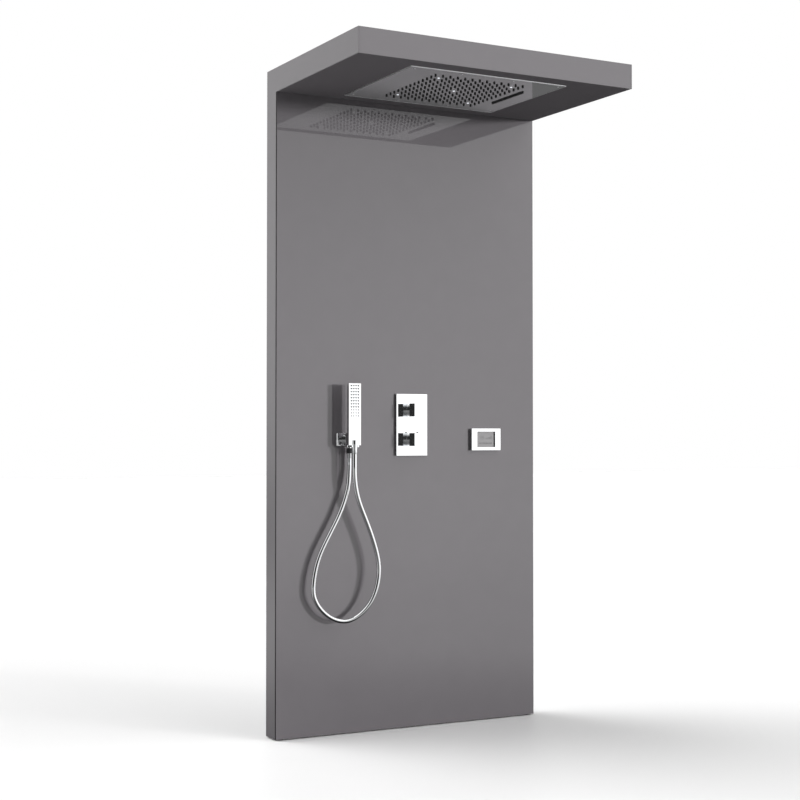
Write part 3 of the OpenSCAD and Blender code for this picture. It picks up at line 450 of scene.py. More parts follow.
# Metallised film under clear vinyl: silver, with a spiral of 2 mm pitch beneath the gloss.
HOSE = Lined("silver_vinyl_hose", Slot.HOSE_SKIN, "#f3f4f5", 0.03, 1.0, pitch_mm=2,
             line="#d6d7d9", coordinates="UV", along="Y",
             sockets={"Coat Weight": 0.6, "Coat Roughness": 0.02})


# ---- Mesh making ----


def smooth_line(points: Sequence[Vector], steps: int) -> list[Vector]:
    """Runs a smooth curve through points.

    Args:
        points: the points that it passes.
        steps: how many pieces each stretch between two points gets.

    Returns:
        The points of the curve.
    """
    ends = [2 * points[0] - points[1], *points, 2 * points[-1] - points[-2]]
    line = []
    for a, b, c, d in zip(ends, ends[1:], ends[2:], ends[3:]):
        for s in range(steps):
            t = s / steps
            line.append(0.5 * (2 * b + (c - a) * t + (2 * a - 5 * b + 4 * c - d) * t * t
                               + (3 * b - a - 3 * c + d) * t ** 3))
    return [*line, points[-1]]


def join_rings(mesh: bmesh.types.BMesh, rings: Sequence[list[bmesh.types.BMVert]]) -> None:
    """Spans faces from each ring of points to the next, and nothing where two points are one.

    Args:
        mesh: the mesh that gets the faces.
        rings: the rings, from low to high; a ring of one point is a tip.
    """
    for low, high in zip(rings, rings[1:]):
        sides = max(len(low), len(high))
        for k in range(sides):
            after = (k + 1) % sides
            corners = list(dict.fromkeys((low[k % len(low)], low[after % len(low)],
                                          high[after % len(high)], high[k % len(high)])))
            if len(corners) > 2:
                mesh.faces.new(corners)


def add_tube(mesh: bmesh.types.BMesh, line: Sequence[Vector], radii: Sequence[float], sides: int,
             side: Vector) -> None:
    """Sweeps a closed round tube along a line.

    Args:
        mesh: the mesh that gets the tube.
        line: the points of its middle.
        radii: its radius at each point.
        sides: how many sides it has.
        side: a direction that the line never runs along.
    """
    rings = []
    for i, (here, radius) in enumerate(zip(line, radii)):
        ahead = (line[min(i + 1, len(line) - 1)] - line[max(i - 1, 0)]).normalized()
        u = (side - side.dot(ahead) * ahead).normalized()
        v = ahead.cross(u)
        turns = [2 * math.pi * k / sides for k in range(sides)]
        rings.append([mesh.verts.new(here + radius * (math.cos(t) * u + math.sin(t) * v))
                      for t in turns])
    join_rings(mesh, rings)
    mesh.faces.new(list(reversed(rings[0])))
    mesh.faces.new(rings[-1])


def lay_texture(mesh: bmesh.types.BMesh, line: Sequence[Vector], sides: int) -> None:
    """Gives a new tube its turn and its length, in metres, as texture axes.

    Args:
        mesh: the mesh that holds the tube alone.
        line: the points of its middle.
        sides: how many sides it has.
    """
    layer = mesh.loops.layers.uv.verify()
    along = [0.0]
    for a, b in zip(line, line[1:]):
        along.append(along[-1] + (b - a).length)
    for n, face in enumerate(list(mesh.faces)[:-2]):
        i, k = divmod(n, sides)
        for loop, (turn, way) in zip(face.loops, ((k, i), (k + 1, i), (k + 1, i + 1), (k, i + 1))):
            loop[layer].uv = (turn / sides, along[way])


def add_turned(mesh: bmesh.types.BMesh, profile: Sequence[tuple[float, float]], place: Vector,
               axis: Axis, sides: int = 48) -> None:
    """Turns a profile round an axis, closed at both ends where it meets the axis.

    Args:
        mesh: the mesh that gets the form.
        profile: radii and heights along the axis in millimetres, from low to high.
        place: the origin of the axis.
        axis: its direction.
        sides: how many sides the form has.
    """
    base = Matrix.Translation(place) @ axis.turn() @ Matrix.Scale(MM, 4)
    turns = [2 * math.pi * k / sides for k in range(sides)]
    join_rings(mesh, [
        [mesh.verts.new(base @ Vector((radius * math.cos(t), radius * math.sin(t), height)))
         for t in (turns if radius else (0.0,))] for radius, height in profile])


def add_block(mesh: bmesh.types.BMesh, low: Vector, high: Vector, round_by: float,
              steps: int = 2) -> None:
    """Adds a block between two corners, with rounded edges.

    Args:
        mesh: the mesh that gets the block.
        low: its low corner.
        high: its high corner.
        round_by: the radius of its edges.
        steps: how many faces each rounded edge gets.
    """
    place = Matrix.Translation((high + low) / 2) @ Matrix.Diagonal((*(high - low), 1))
    made = bmesh.ops.create_cube(mesh, size=1, matrix=place)
    edges = list({e for v in made["verts"] for e in v.link_edges})
    bmesh.ops.bevel(mesh, geom=edges, offset=round_by, segments=steps, profile=0.5,
                    affect="EDGES", clamp_overlap=True)


def stand(name: str, data: bpy.types.ID) -> bpy.types.Object:
    """Puts a new object in the scene.

    Args:
        name: its name.
        data: the mesh, camera or lamp that it shows.

    Returns:
        The object.
    """
    made = bpy.data.objects.new(name, data)
    bpy.context.scene.collection.objects.link(made)
    return made


@dataclass
class Workshop:
    """Dresses CAD nodes and publishes new pieces."""

    nodes: dict[str, bpy.types.Object]
    smooth_deg: float = 35.0
    flat_deg: float = 0.5
    edge_deg: float = 50.0
    weld_mm: float = 0.01

    def dress(self, names: str, finish: Finish, soften_mm: float = 0.0, steps: int = 2) -> None:
        """Gives CAD nodes a finish and eases their sharp edges.

        Args:
            names: the nodes' names, with spaces between them.
            finish: what they are finished in.
            soften_mm: the radius of their edges, 0 for none.
            steps: how many faces each eased edge gets.
        """
        for node in (self.nodes[name] for name in names.split()):
            if not node.material_slots:
                node.data.materials.append(finish.material())
            for slot in node.material_slots:
                slot.material = finish.material()
            if soften_mm:
                self.soften(node, soften_mm, steps)

    def soften(self, node: bpy.types.Object, radius_mm: float, steps: int) -> None:
        """Joins the node's split faces, and rounds the edges between its flat ones.

        Args:
            node: the CAD node.
            radius_mm: the radius of its edges.
            steps: how many faces each rounded edge gets.
        """
        for kind, settings in (
                ("WELD", {"merge_threshold": self.weld_mm * MM}),
                ("DECIMATE", {"decimate_type": "DISSOLVE",
                              "angle_limit": math.radians(self.flat_deg)}),
                ("BEVEL", {"width": radius_mm * MM, "segments": steps, "limit_method": "ANGLE",
                           "angle_limit": math.radians(self.edge_deg)}),
                ("WEIGHTED_NORMAL", {"keep_sharp": False, "weight": 100})):
            modifier = node.modifiers.new(kind.lower(), kind)
            for name, value in settings.items():
                setattr(modifier, name, value)

    def piece(self, name: str, mesh: bmesh.types.BMesh, finish: Finish, body: Body,
              replaces: Sequence[str] = (), ride: bool = True) -> bpy.types.Object:
        """Publishes a mesh as a piece of the object.

        Args:
            name: the piece's name.
            mesh: its mesh, which is freed.
            finish: what it is finished in.
            body: the body that it moves with.
            replaces: the CAD nodes that it stands for.
            ride: False to leave the piece unattached to any body.

        Returns:
            The new object.
        """
        bmesh.ops.recalc_face_normals(mesh, faces=mesh.faces)
        data = bpy.data.meshes.new(name)
        mesh.to_mesh(data)
        mesh.free()
        data.shade_smooth()
        data.set_sharp_from_angle(angle=math.radians(self.smooth_deg))
        data.materials.append(finish.material())
        made = stand(name, data)
        if ride:
            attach(made, body.value)
        if replaces:
            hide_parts(*replaces)
        LOG.info("%s: %d faces on %s", name, len(data.polygons), body.value)
        return made


# ---- The studio ----


@dataclass(frozen=True)
class Lamp:
    """A distant lamp: where it stands, how strong it is and how wide it looks."""

    name: str
    toward: tuple[float, float, float]
    strength: float
    width_deg: float

    def hang(self) -> None:
        """Hangs the lamp; mirrors don't show it, as they show the softboxes in the surroundings."""
        data = bpy.data.lights.new(self.name, "SUN")
        data.energy = self.strength
        data.angle = math.radians(self.width_deg)
        lamp = stand(self.name, data)
        lamp.rotation_mode = "QUATERNION"
        lamp.rotation_quaternion = Vector(self.toward).to_track_quat("Z", "Y")
        lamp.visible_glossy = False


@dataclass
class Studio:
    """The camera, the pale floor, the white surroundings and the lamps.

    Levels are of light, with plain white at 1. In mirrors a dark gap lies toward dark_toward
    and ends at the two angles of dark_edges_deg from it. A row of floor_levels has a distance
    from the object's foot and the floor's level there.
    """

    lens_mm: float = 69.48
    azimuth_deg: float = 28.61
    elevation_deg: float = 1.313
    eye: tuple[float, float, float] = (-2.557, -4.693, -0.107)
    floor_z: float = -1.1
    floor_size: float = 60.0
    floor_colour: str = "#e8e8e8"
    bounce_reach: float = 0.8
    bounce_levels: tuple[float, float] = (0.55, 0.17)
    ambient: float = 0.27
    mirrored_white: float = 1.5
    mirrored_back: float = 0.85
    back_edges: tuple[float, float] = (-0.1, 0.3)
    mirrored_dark: float = 0.03
    floor_dark: float = 0.24
    dark_toward: tuple[float, float, float] = (-0.574, -0.819, 0.0)
    dark_edges_deg: tuple[float, float] = (24.0, 66.0)
    floor_lift: float = 0.01
    floor_levels: tuple[tuple[float, float], ...] = (
        (0.5, 0.06), (1.05, 0.24), (1.4, 0.42), (2.1, 0.67), (4.4, 0.78), (7.8, 0.93), (16.0, 1.0))
    lamps: tuple[Lamp, ...] = (
        Lamp("key", (0.596, -0.80, 0.07), 2.62, 5.0),
        Lamp("soft_key", (0.55, -0.60, 0.58), 1.55, 60.0),
        Lamp("back", (-0.66, 0.70, 0.28), 2.2, 60.0),
        Lamp("top", (-0.30, 0.25, 0.92), 1.6, 40.0))

    def place_camera(self) -> None:
        """Stands the camera where the photograph's perspective puts it."""
        data = bpy.data.cameras.new("camera")
        data.lens, data.sensor_width = self.lens_mm, 36.0
        data.clip_start, data.clip_end = 0.05, 200.0
        camera = stand("camera", data)
        azimuth, elevation = math.radians(self.azimuth_deg), math.radians(self.elevation_deg)
        ahead = Vector((math.sin(azimuth) * math.cos(elevation),
                        math.cos(azimuth) * math.cos(elevation), math.sin(elevation)))
        camera.location = self.eye
        camera.rotation_mode = "QUATERNION"
        camera.rotation_quaternion = ahead.to_track_quat("-Z", "Y")
        bpy.context.scene.camera = camera

    def dark_gap(self, tree: bpy.types.NodeTree, toward: bpy.types.NodeSocket,
                 darkest: float) -> bpy.types.NodeSocket:
        """Adds a mirrored level: white, but for a dark gap between the softboxes in front.

        Args:
            tree: the tree that gets the nodes.
            toward: the direction, as a unit vector.
            darkest: the level in the gap's middle.

        Returns:
            The socket that gives the level.
        """
        near = add_node(tree, "VectorMath", {0: toward, 1: self.dark_toward},
                        operation="DOT_PRODUCT")
        inner, outer = (math.cos(math.radians(a)) for a in self.dark_edges_deg)
        return add_node(tree, "MapRange", {
            "Value": near.outputs["Value"], "From Min": outer, "From Max": inner,
            "To Min": self.mirrored_white, "To Max": darkest},
            interpolation_type="SMOOTHSTEP").outputs["Result"]

    def mirrored(self, tree: bpy.types.NodeTree) -> bpy.types.Node:
        """Adds what mirrors show: white softboxes in front with a dark gap, and a dim back.

        Args:
            tree: the world's tree.

        Returns:
            The background shader.
        """
        where = add_node(tree, "TexCoord")
        front = self.dark_gap(tree, where.outputs["Generated"], self.mirrored_dark)
        parts = add_node(tree, "SeparateXYZ", {"Vector": where.outputs["Generated"]})
        near, far = self.back_edges
        behind = add_node(tree, "MapRange", {
            "Value": parts.outputs["Y"], "From Min": near, "From Max": far,
            "To Min": 1.0, "To Max": self.mirrored_back / self.mirrored_white})
        level = add_node(tree, "Math", {
            0: front, 1: behind.outputs["Result"]}, operation="MULTIPLY")
        return add_node(tree, "Background", {"Color": WHITE, "Strength": level.outputs[0]})

    def surround(self) -> None:
        """Makes the world white to look at, a studio to mirrors and plain grey as a light."""
        world = bpy.data.worlds.new("white_surround")
        bpy.context.scene.world = world
        world.use_nodes = True
        tree = world.node_tree
        tree.nodes.clear()
        path = add_node(tree, "LightPath")
        white = add_node(tree, "Background", {"Color": WHITE, "Strength": 1.0})
        light = add_node(tree, "Background", {"Color": WHITE, "Strength": self.ambient})
        shown = add_node(tree, "MixShader", {
            0: path.outputs["Is Glossy Ray"], 1: light.outputs[0],
            2: self.mirrored(tree).outputs[0]})
        direct = add_node(tree, "Math", {
            0: path.outputs["Is Camera Ray"], 1: path.outputs["Is Transmission Ray"]},
            operation="MAXIMUM")
        mix = add_node(tree, "MixShader", {
            0: direct.outputs[0], 1: shown.outputs[0], 2: white.outputs[0]})
        add_node(tree, "OutputWorld", {"Surface": mix.outputs[0]})

    def lay_floor(self) -> None:
        """Lays a floor that is pale to the camera and throws more light back on its left."""
        mesh = bmesh.new()
        bmesh.ops.create_grid(mesh, x_segments=1, y_segments=1, size=self.floor_size / 2)
        data = bpy.data.meshes.new("floor")
        mesh.to_mesh(data)
        mesh.free()
        floor = stand("floor", data)
        floor.location = (0, 0, self.floor_z)
        material = bpy.data.materials.new("pale_studio_floor")
        material.use_nodes = True
        tree = material.node_tree
        shader = tree.nodes["Principled BSDF"]
        path = add_node(tree, "LightPath")
        lift = add_node(tree, "Math", {
            0: path.outputs["Is Camera Ray"], 1: self.floor_lift}, operation="MULTIPLY")
        where = add_node(tree, "TexCoord").outputs["Object"]
        parts = add_node(tree, "SeparateXYZ", {"Vector": where})
        left, right = self.bounce_levels
        across = add_node(tree, "MapRange", {
            "Value": parts.outputs["X"], "From Min": -self.bounce_reach,
            "From Max": self.bounce_reach, "To Min": left, "To Max": right},
            interpolation_type="SMOOTHSTEP")
        tone = add_node(tree, "Mix", {
            "Factor": path.outputs["Is Camera Ray"], "A": across.outputs["Result"],
            "B": linear(self.floor_colour)}, data_type="RGBA")
        feed(shader, {"Base Color": tone.outputs["Result"], "Roughness": 0.45,
                      "Specular IOR Level": 0.2, "Emission Color": WHITE,
                      "Emission Strength": lift.outputs[0]})
        mirrored = add_node(tree, "Emission", {"Strength": self.mirrored_floor(tree)})
        either = add_node(tree, "MixShader", {
            0: path.outputs["Is Glossy Ray"], 1: shader.outputs[0], 2: mirrored.outputs[0]})
        feed(tree.nodes["Material Output"], {"Surface": either.outputs[0]})
        data.materials.append(material)

    def mirrored_floor(self, tree: bpy.types.NodeTree) -> bpy.types.NodeSocket:
        """Adds the floor's level in mirrors: painted shade round the object, and dark far off
        behind it.

        Args:
            tree: the floor material's tree.

        Returns:
            The socket that gives the level.
        """
        where = add_node(tree, "TexCoord").outputs["Object"]
        reach = add_node(tree, "VectorMath", {0: where}, operation="LENGTH")
        steps = add_node(tree, "Math", {0: reach.outputs["Value"], 1: 2.0},
                         operation="LOGARITHM")
        first, last = (math.log2(self.floor_levels[i][0]) for i in (0, -1))
        share = add_node(tree, "MapRange", {
            "Value": steps.outputs[0], "From Min": first, "From Max": last})
        pale = add_node(tree, "ValToRGB", {"Fac": share.outputs["Result"]}, stops=[
            ((math.log2(far) - first) / (last - first), (level, level, level, 1.0))
            for far, level in self.floor_levels])
        level = pale.outputs["Color"]
        out = add_node(tree, "VectorMath", {0: where}, operation="NORMALIZE")
        aside = self.dark_gap(tree, out.outputs["Vector"], self.floor_dark)
        back = self.mirrored_back / self.mirrored_white
        # Each row has a direction, the distances where the level starts and ends to fall along
        # it, and the share that is left.
        for along, near, far, left in (((0.3, 0.95, 0.0), 3.0, 6.0, 0.17),
                                       ((0.0, 1.0, 0.0), 0.0, 0.5, back)):
            side = add_node(tree, "VectorMath", {0: where, 1: along}, operation="DOT_PRODUCT")
            less = add_node(tree, "MapRange", {
                "Value": side.outputs["Value"], "From Min": near, "From Max": far,
                "To Min": 1.0, "To Max": left}, interpolation_type="SMOOTHSTEP")
            level = add_node(tree, "Math", {0: level, 1: less.outputs["Result"]},
                             operation="MULTIPLY").outputs[0]
        return add_node(tree, "Math", {0: level, 1: aside}, operation="MULTIPLY").outputs[0]

    def build(self) -> None:
        """Sets up all but the camera."""
        bpy.context.scene.view_settings.view_transform = "Standard"
        self.surround()
        self.lay_floor()
        for lamp in self.lamps:
            lamp.hang()


# ---- What the sub-assemblies share ----


@dataclass
class Assembly:
    """A sub-assembly: it dresses the CAD nodes in its table and adds its own pieces.

    A row of the table has the nodes' names, their finish, the radius of their edges in
    millimetres (0 for none) and how many faces each eased edge gets.
    """

    shop: Workshop

    DRESS: ClassVar[tuple[tuple[str, Finish, float, int], ...]] = ()

    def build(self) -> None:
        """Dresses the nodes, each row's names in one finish, and adds the pieces."""
        for names, finish, soften_mm, steps in self.DRESS:
            self.shop.dress(names, finish, soften_mm, steps)
        self.add_pieces()

    def add_pieces(self) -> None:
        """Adds the sub-assembly's own pieces; some have none."""


# ---- The hand shower and its hose ----


@dataclass
class HandShower(Assembly):
    """The hand shower in its holder, the outlet and the hose between them."""

    hose_radius: float = 7.5 * MM
    hose_sides: int = 20
    steps: int = 6
    ironing: int = 20
    held_points: int = 12
    lift_from: float = 0.3
    lift_span: float = 0.45
    ferrule_mm: float = 16
    nut_sides: int = 64
    tip_mm: float = 2.6
    tip_sides: int = 20
    tip_pitch: tuple[float, float] = (8.75 * MM, 10 * MM)
    tip_columns: int = 4
    tip_rows: int = 8
    top_row: int = 5
    flange_mm: tuple[float, float, float] = (79, 43, 6)
    flange_gap: float = 0.05 * MM
    flange_round: float = 1.2 * MM
    route_mm: tuple[tuple[float, float, float], ...] = (
        (-245, -102, -183), (-245, -102, -197), (-245, -102, -211), (-247, -104, -245),
        (-253, -109, -278), (-263, -113, -308), (-280, -113, -356), (-309, -113, -409),
        (-339, -113, -461), (-365, -113, -512), (-378, -113, -564), (-384, -114, -612),
        (-379, -115, -643), (-361, -117, -674), (-334, -120, -700), (-306, -123, -715),
        (-278, -126, -721), (-250, -129, -717), (-221, -132, -702), (-194, -135, -677),
        (-175, -136, -651), (-159, -137, -611), (-150, -137, -558), (-157, -137, -505),
        (-179, -138, -440), (-202, -138, -384), (-228, -139, -328), (-240, -140, -282),
        (-245, -141, -242), (-245, -141, -205), (-245, -141, -187), (-245, -141, -168.5))

    DRESS = (("bracket_sleeve", CHROME, 0.5, 2), ("outlet_elbow outlet_backnut", BRASS, 0.5, 2),
             ("bracket_fork", CHROME, 0.8, 3), ("handset_body", CHROME, 1.2, 3),
             ("handset_spray_face", CHROME, 0.2, 2), ("handset_nozzles", SILICONE, 0.3, 2))

    def run_hose(self) -> None:
        """Runs the hose along its route, from the outlet's nut to the hand shower's."""
        route = [tuple(round(c * MM, 4) for c in point) for point in self.route_mm]
        line = smooth_line([Vector(p) for p in route], self.steps)
        # The points between the held ends are drawn toward their neighbours, which irons out
        # small waves.
        held = self.held_points
        for _ in range(self.ironing):
            line[held:-held] = [(a + 2 * b + c) / 4 for a, b, c in zip(
                line[held - 1:], line[held:-held], line[held + 1:])]
        mesh = bmesh.new()
        add_tube(mesh, line, [self.hose_radius] * len(line), self.hose_sides, Vector((0, 1, 0)))
        lay_texture(mesh, line, self.hose_sides)
        hose = self.shop.piece("shower_hose", mesh, HOSE, Body.CASING, ["hose"], ride=False)
        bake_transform(hose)
        self.lift_by_length(hose, line)
        self.outlet_nut()
        self.cone_nut()

    def lift_by_length(self, hose: bpy.types.Object, line: Sequence[Vector]) -> None:
        """Works out a blend weight for each ring along the hose's length, as its two ends hang side
        by side; the weights are not put to use.

        Args:
            hose: not used.
            line: the points of its middle, one for each ring.
        """
        last = len(line) - 1
        weights = []
        for i in range(len(line)):
            share = min(1.0, max(0.0, (i / last - self.lift_from) / self.lift_span))
            weights += [share * share * (3 - 2 * share)] * self.hose_sides

    def outlet_nut(self) -> bpy.types.Object:
        """Fits the black swivel nut under the outlet, and the ferrule below it.

        Returns:
            The ferrule, which stands for the CAD nut.
        """
        low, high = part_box("outlet_hose_nut")
        r, h, split = (high.x - low.x) / 2 / MM, (high.z - low.z) / MM, self.ferrule_mm
        foot = Vector(((low.x + high.x) / 2, (low.y + high.y) / 2, low.z))
        mesh = bmesh.new()
        add_turned(mesh, [(0, split), (r - 0.9, split), (r - 0.2, split + 0.7), (r, split + 1.2),
                          (r, h - 4.5), (r - 0.5, h - 4.2), (r - 0.5, h - 3.4), (r, h - 3.1),
                          (r, h - 0.7), (r - 0.7, h), (7.7, h)], foot, Axis.Z, self.nut_sides)
        # The nut's black is partly painted shade, for the hand shower's shadow that falls on it.
        self.shop.piece("hose_swivel_nut", mesh, BLACK_ABS, Body.CASING)
        mesh = bmesh.new()
        add_turned(mesh, [(0, 0), (7.7, 0), (7.9, 0.4), (7.9, split - 2), (8.5, split - 1),
                          (8.5, split), (0, split)], foot, Axis.Z, self.nut_sides)
        return self.shop.piece("hose_ferrule", mesh, HOSE, Body.CASING, ["outlet_hose_nut"])

    def cone_nut(self) -> bpy.types.Object:
        """Fits the conical nut on the hand shower's end of the hose.

        Returns:
            The nut.
        """
        low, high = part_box("handset_cone_nut")
        h = (high.z - low.z) / MM
        mesh = bmesh.new()
        add_turned(mesh, [(0, 0), (7.7, 0), (8.0, 0.4), (8.75, h - 3.2), (8.35, h - 2.9),
                          (8.35, h - 2.3), (8.8, h - 2), (8.9, h - 0.3), (8.5, h), (0, h)],
                   Vector(((low.x + high.x) / 2, (low.y + high.y) / 2, low.z)), Axis.Z,
                   self.nut_sides)
        return self.shop.piece("hose_cone_nut", mesh, CHROME, Body.HANDSET, ["handset_cone_nut"])

    def add_pieces(self) -> None:
        """Adds the spray tips and the holder's flange; the hose is made before."""
        self.stand_tips()
        self.fit_flange()

    def stand_tips(self) -> None:
        """Widens the jets of the upper rows with black tips."""
        low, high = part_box("handset_spray_face")
        middle, (across, down) = (low + high) / 2, self.tip_pitch
        mesh = bmesh.new()
        r = self.tip_mm
        profile = [(0, -0.5), (1.2, -0.5), (1.3, -0.8), (r - 0.3, -0.8), (r, -0.5), (r, 0.3),
                   (0, 0.3)]
        for i in range(self.tip_columns):
            x = middle.x + (i - (self.tip_columns - 1) / 2) * across
            for j in range(self.tip_rows):
                place = Vector((x, low.y, middle.z + (self.top_row - j) * down))
                add_turned(mesh, profile, place, Axis.Y, self.tip_sides)
        self.shop.piece("spray_tips", mesh, SILICONE, Body.HANDSET)

    def fit_flange(self) -> None:
        """Fits the holder's wall flange behind its sleeve."""
        low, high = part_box("bracket_sleeve")
        wide, tall, thick = (size * MM for size in self.flange_mm)
        middle = (low.x + high.x) / 2
        mesh = bmesh.new()
        add_block(mesh, Vector((middle - wide / 2, high.y - thick, high.z - tall)),
                  Vector((middle + wide / 2, high.y - self.flange_gap, high.z)),
                  self.flange_round, 3)
        self.shop.piece("holder_flange", mesh, CHROME, Body.CASING)


# ---- The mixer ----


@dataclass
class Mixer(Assembly):
    """The concealed valve, its cartridges and the chromed trim with two knobs."""

    spring_turns: int = 3
    spring_steps: int = 28
    spring_wire: float = 0.4 * MM
    spring_radius: float = 3.6 * MM
    unions: tuple[tuple[float, float, Axis], ...] = (
        (0.0, 0.019, Axis.Z), (0.062, -0.021, Axis.X), (-0.076, -0.021, Axis.X),
        (-0.215, -0.121, Axis.X))
    union_y: float = -0.047

    DRESS = (("trim_plate", CHROME, 0.8, 3), ("trim_sleeves", CHROME, 0.5, 2),
             ("diverter_knob thermostat_knob", CHROME, 1.0, 3), ("safety_button", CHROME, 0.6, 2),
             ("diverter_spindle thermostat_spindle", SHEET, 0.3, 2),
             ("diverter_grub_screw thermostat_grub_screw", SHEET, 0.3, 2),
             ("trim_gasket", SILICONE, 0, 2), ("valve_bracket", ZINC, 0.5, 2),
             ("valve_body inlet_check_valves cartridge_nuts", BRASS, 0.8, 2),
             ("diverter_cartridge thermostatic_cartridge", ACETAL, 0.4, 2))

    def add_pieces(self) -> None:
        """Adds the return spring and the union nuts."""
        self.wind_spring()
        self.fit_unions()

    def wind_spring(self) -> None:
        """Winds the button's return spring at its rest length; the real spring shortens as the
        button goes in.
        """
        low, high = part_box("button_spring")
        y, wire, steps = (low.y + high.y) / 2, self.spring_wire, self.spring_steps
        count = self.spring_turns * steps
        rise = high.z - low.z - 2 * wire
        line = []
        for i in range(count + 1):
            turn = 2 * math.pi * i / steps
            line.append(Vector((self.spring_radius * math.cos(turn),
                                y + self.spring_radius * math.sin(turn),
                                low.z + wire + rise * i / count)))
        mesh = bmesh.new()
        add_tube(mesh, line, [wire] * len(line), 8, Vector((0, 0, 1)))
        spring = self.shop.piece("return_spring", mesh, SHEET, Body.THERMOSTAT, ["button_spring"])
        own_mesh(spring)

    def fit_unions(self) -> None:
        """Fits a brass union nut where each pipe enters the valve or an elbow."""
        mesh = bmesh.new()
        nut = [(0, 0), (11.3, 0), (12.5, 1.2), (12.5, 12.8), (11.3, 14), (0, 14)]
        for x, z, axis in self.unions:
            add_turned(mesh, nut, Vector((x, self.union_y, z)), axis, 6)
        self.shop.piece("pipe_unions", mesh, BRASS, Body.CASING)


# ---- The wall control ----


@dataclass
class WallControl(Assembly):
    """The framed screen on the panel and its box behind the sheet."""

    centre: tuple[float, float] = (0.296, -0.121)
    segment: float = 5.4 * MM
    stroke: float = 1.1 * MM
    proud: float = 0.25 * MM
    stand_off: float = 0.15 * MM
    digits_left: float = -24 * MM
    digit_step: float = 9.5 * MM

    DRESS = (("control_frame", CHROME, 0.7, 3), ("control_screen", DISPLAY, 0, 2),
             ("control_box", BLACK_ABS, 0.8, 2))
    SEGMENTS: ClassVar[dict[str, str]] = {"3": "abgcd", "8": "abcdefg"}

    def digit(self, mesh: bmesh.types.BMesh, figure: str, x: float, z: float, y: float) -> None:
        """Draws one seven-segment figure as thin raised bars.

        Args:
            mesh: the mesh that gets the bars.
            figure: the figure to draw.
            x: the place of its left side.
            z: the place of its foot.
            y: the place of its front.
        """
        s, w = self.segment, self.stroke
        bars = {"a": (0, 2 * s, s, 0), "g": (0, s, s, 0), "d": (0, 0, s, 0),
                "f": (0, s, 0, s), "b": (s, s, 0, s), "e": (0, 0, 0, s), "c": (s, 0, 0, s)}
        for name in self.SEGMENTS[figure]:
            left, foot, wide, tall = bars[name]
            low = Vector((x + left - w / 2, y, z + foot - w / 2))
            add_block(mesh, low, low + Vector((wide + w, self.proud, tall + w)), 0.12 * MM, 1)

    def add_pieces(self) -> None:
        """Draws a temperature, a row of level bars and four keys on the display."""
        x, z = self.centre
        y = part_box("control_screen")[0].y - self.stand_off
        mesh = bmesh.new()
        for i, figure in enumerate("38"):
            self.digit(mesh, figure, x + self.digits_left + i * self.digit_step, z + 1 * MM, y)
        # Each mark has its left side and its foot from the centre, its width and its height.
        bars = [(2 + 4.2 * i, 1, 2.6, 3 + 1.4 * i) for i in range(6)]
        keys = [(14 * i - 26, -16, 10, 5) for i in range(4)]
        for left, foot, wide, tall in bars + keys:
            low = Vector((x + left * MM, y, z + foot * MM))
            add_block(mesh, low, low + Vector((wide * MM, self.proud, tall * MM)), 0.1 * MM, 1)
        self.shop.piece("display_readings", mesh, INK, Body.CASING)


# ---- The shower head ----


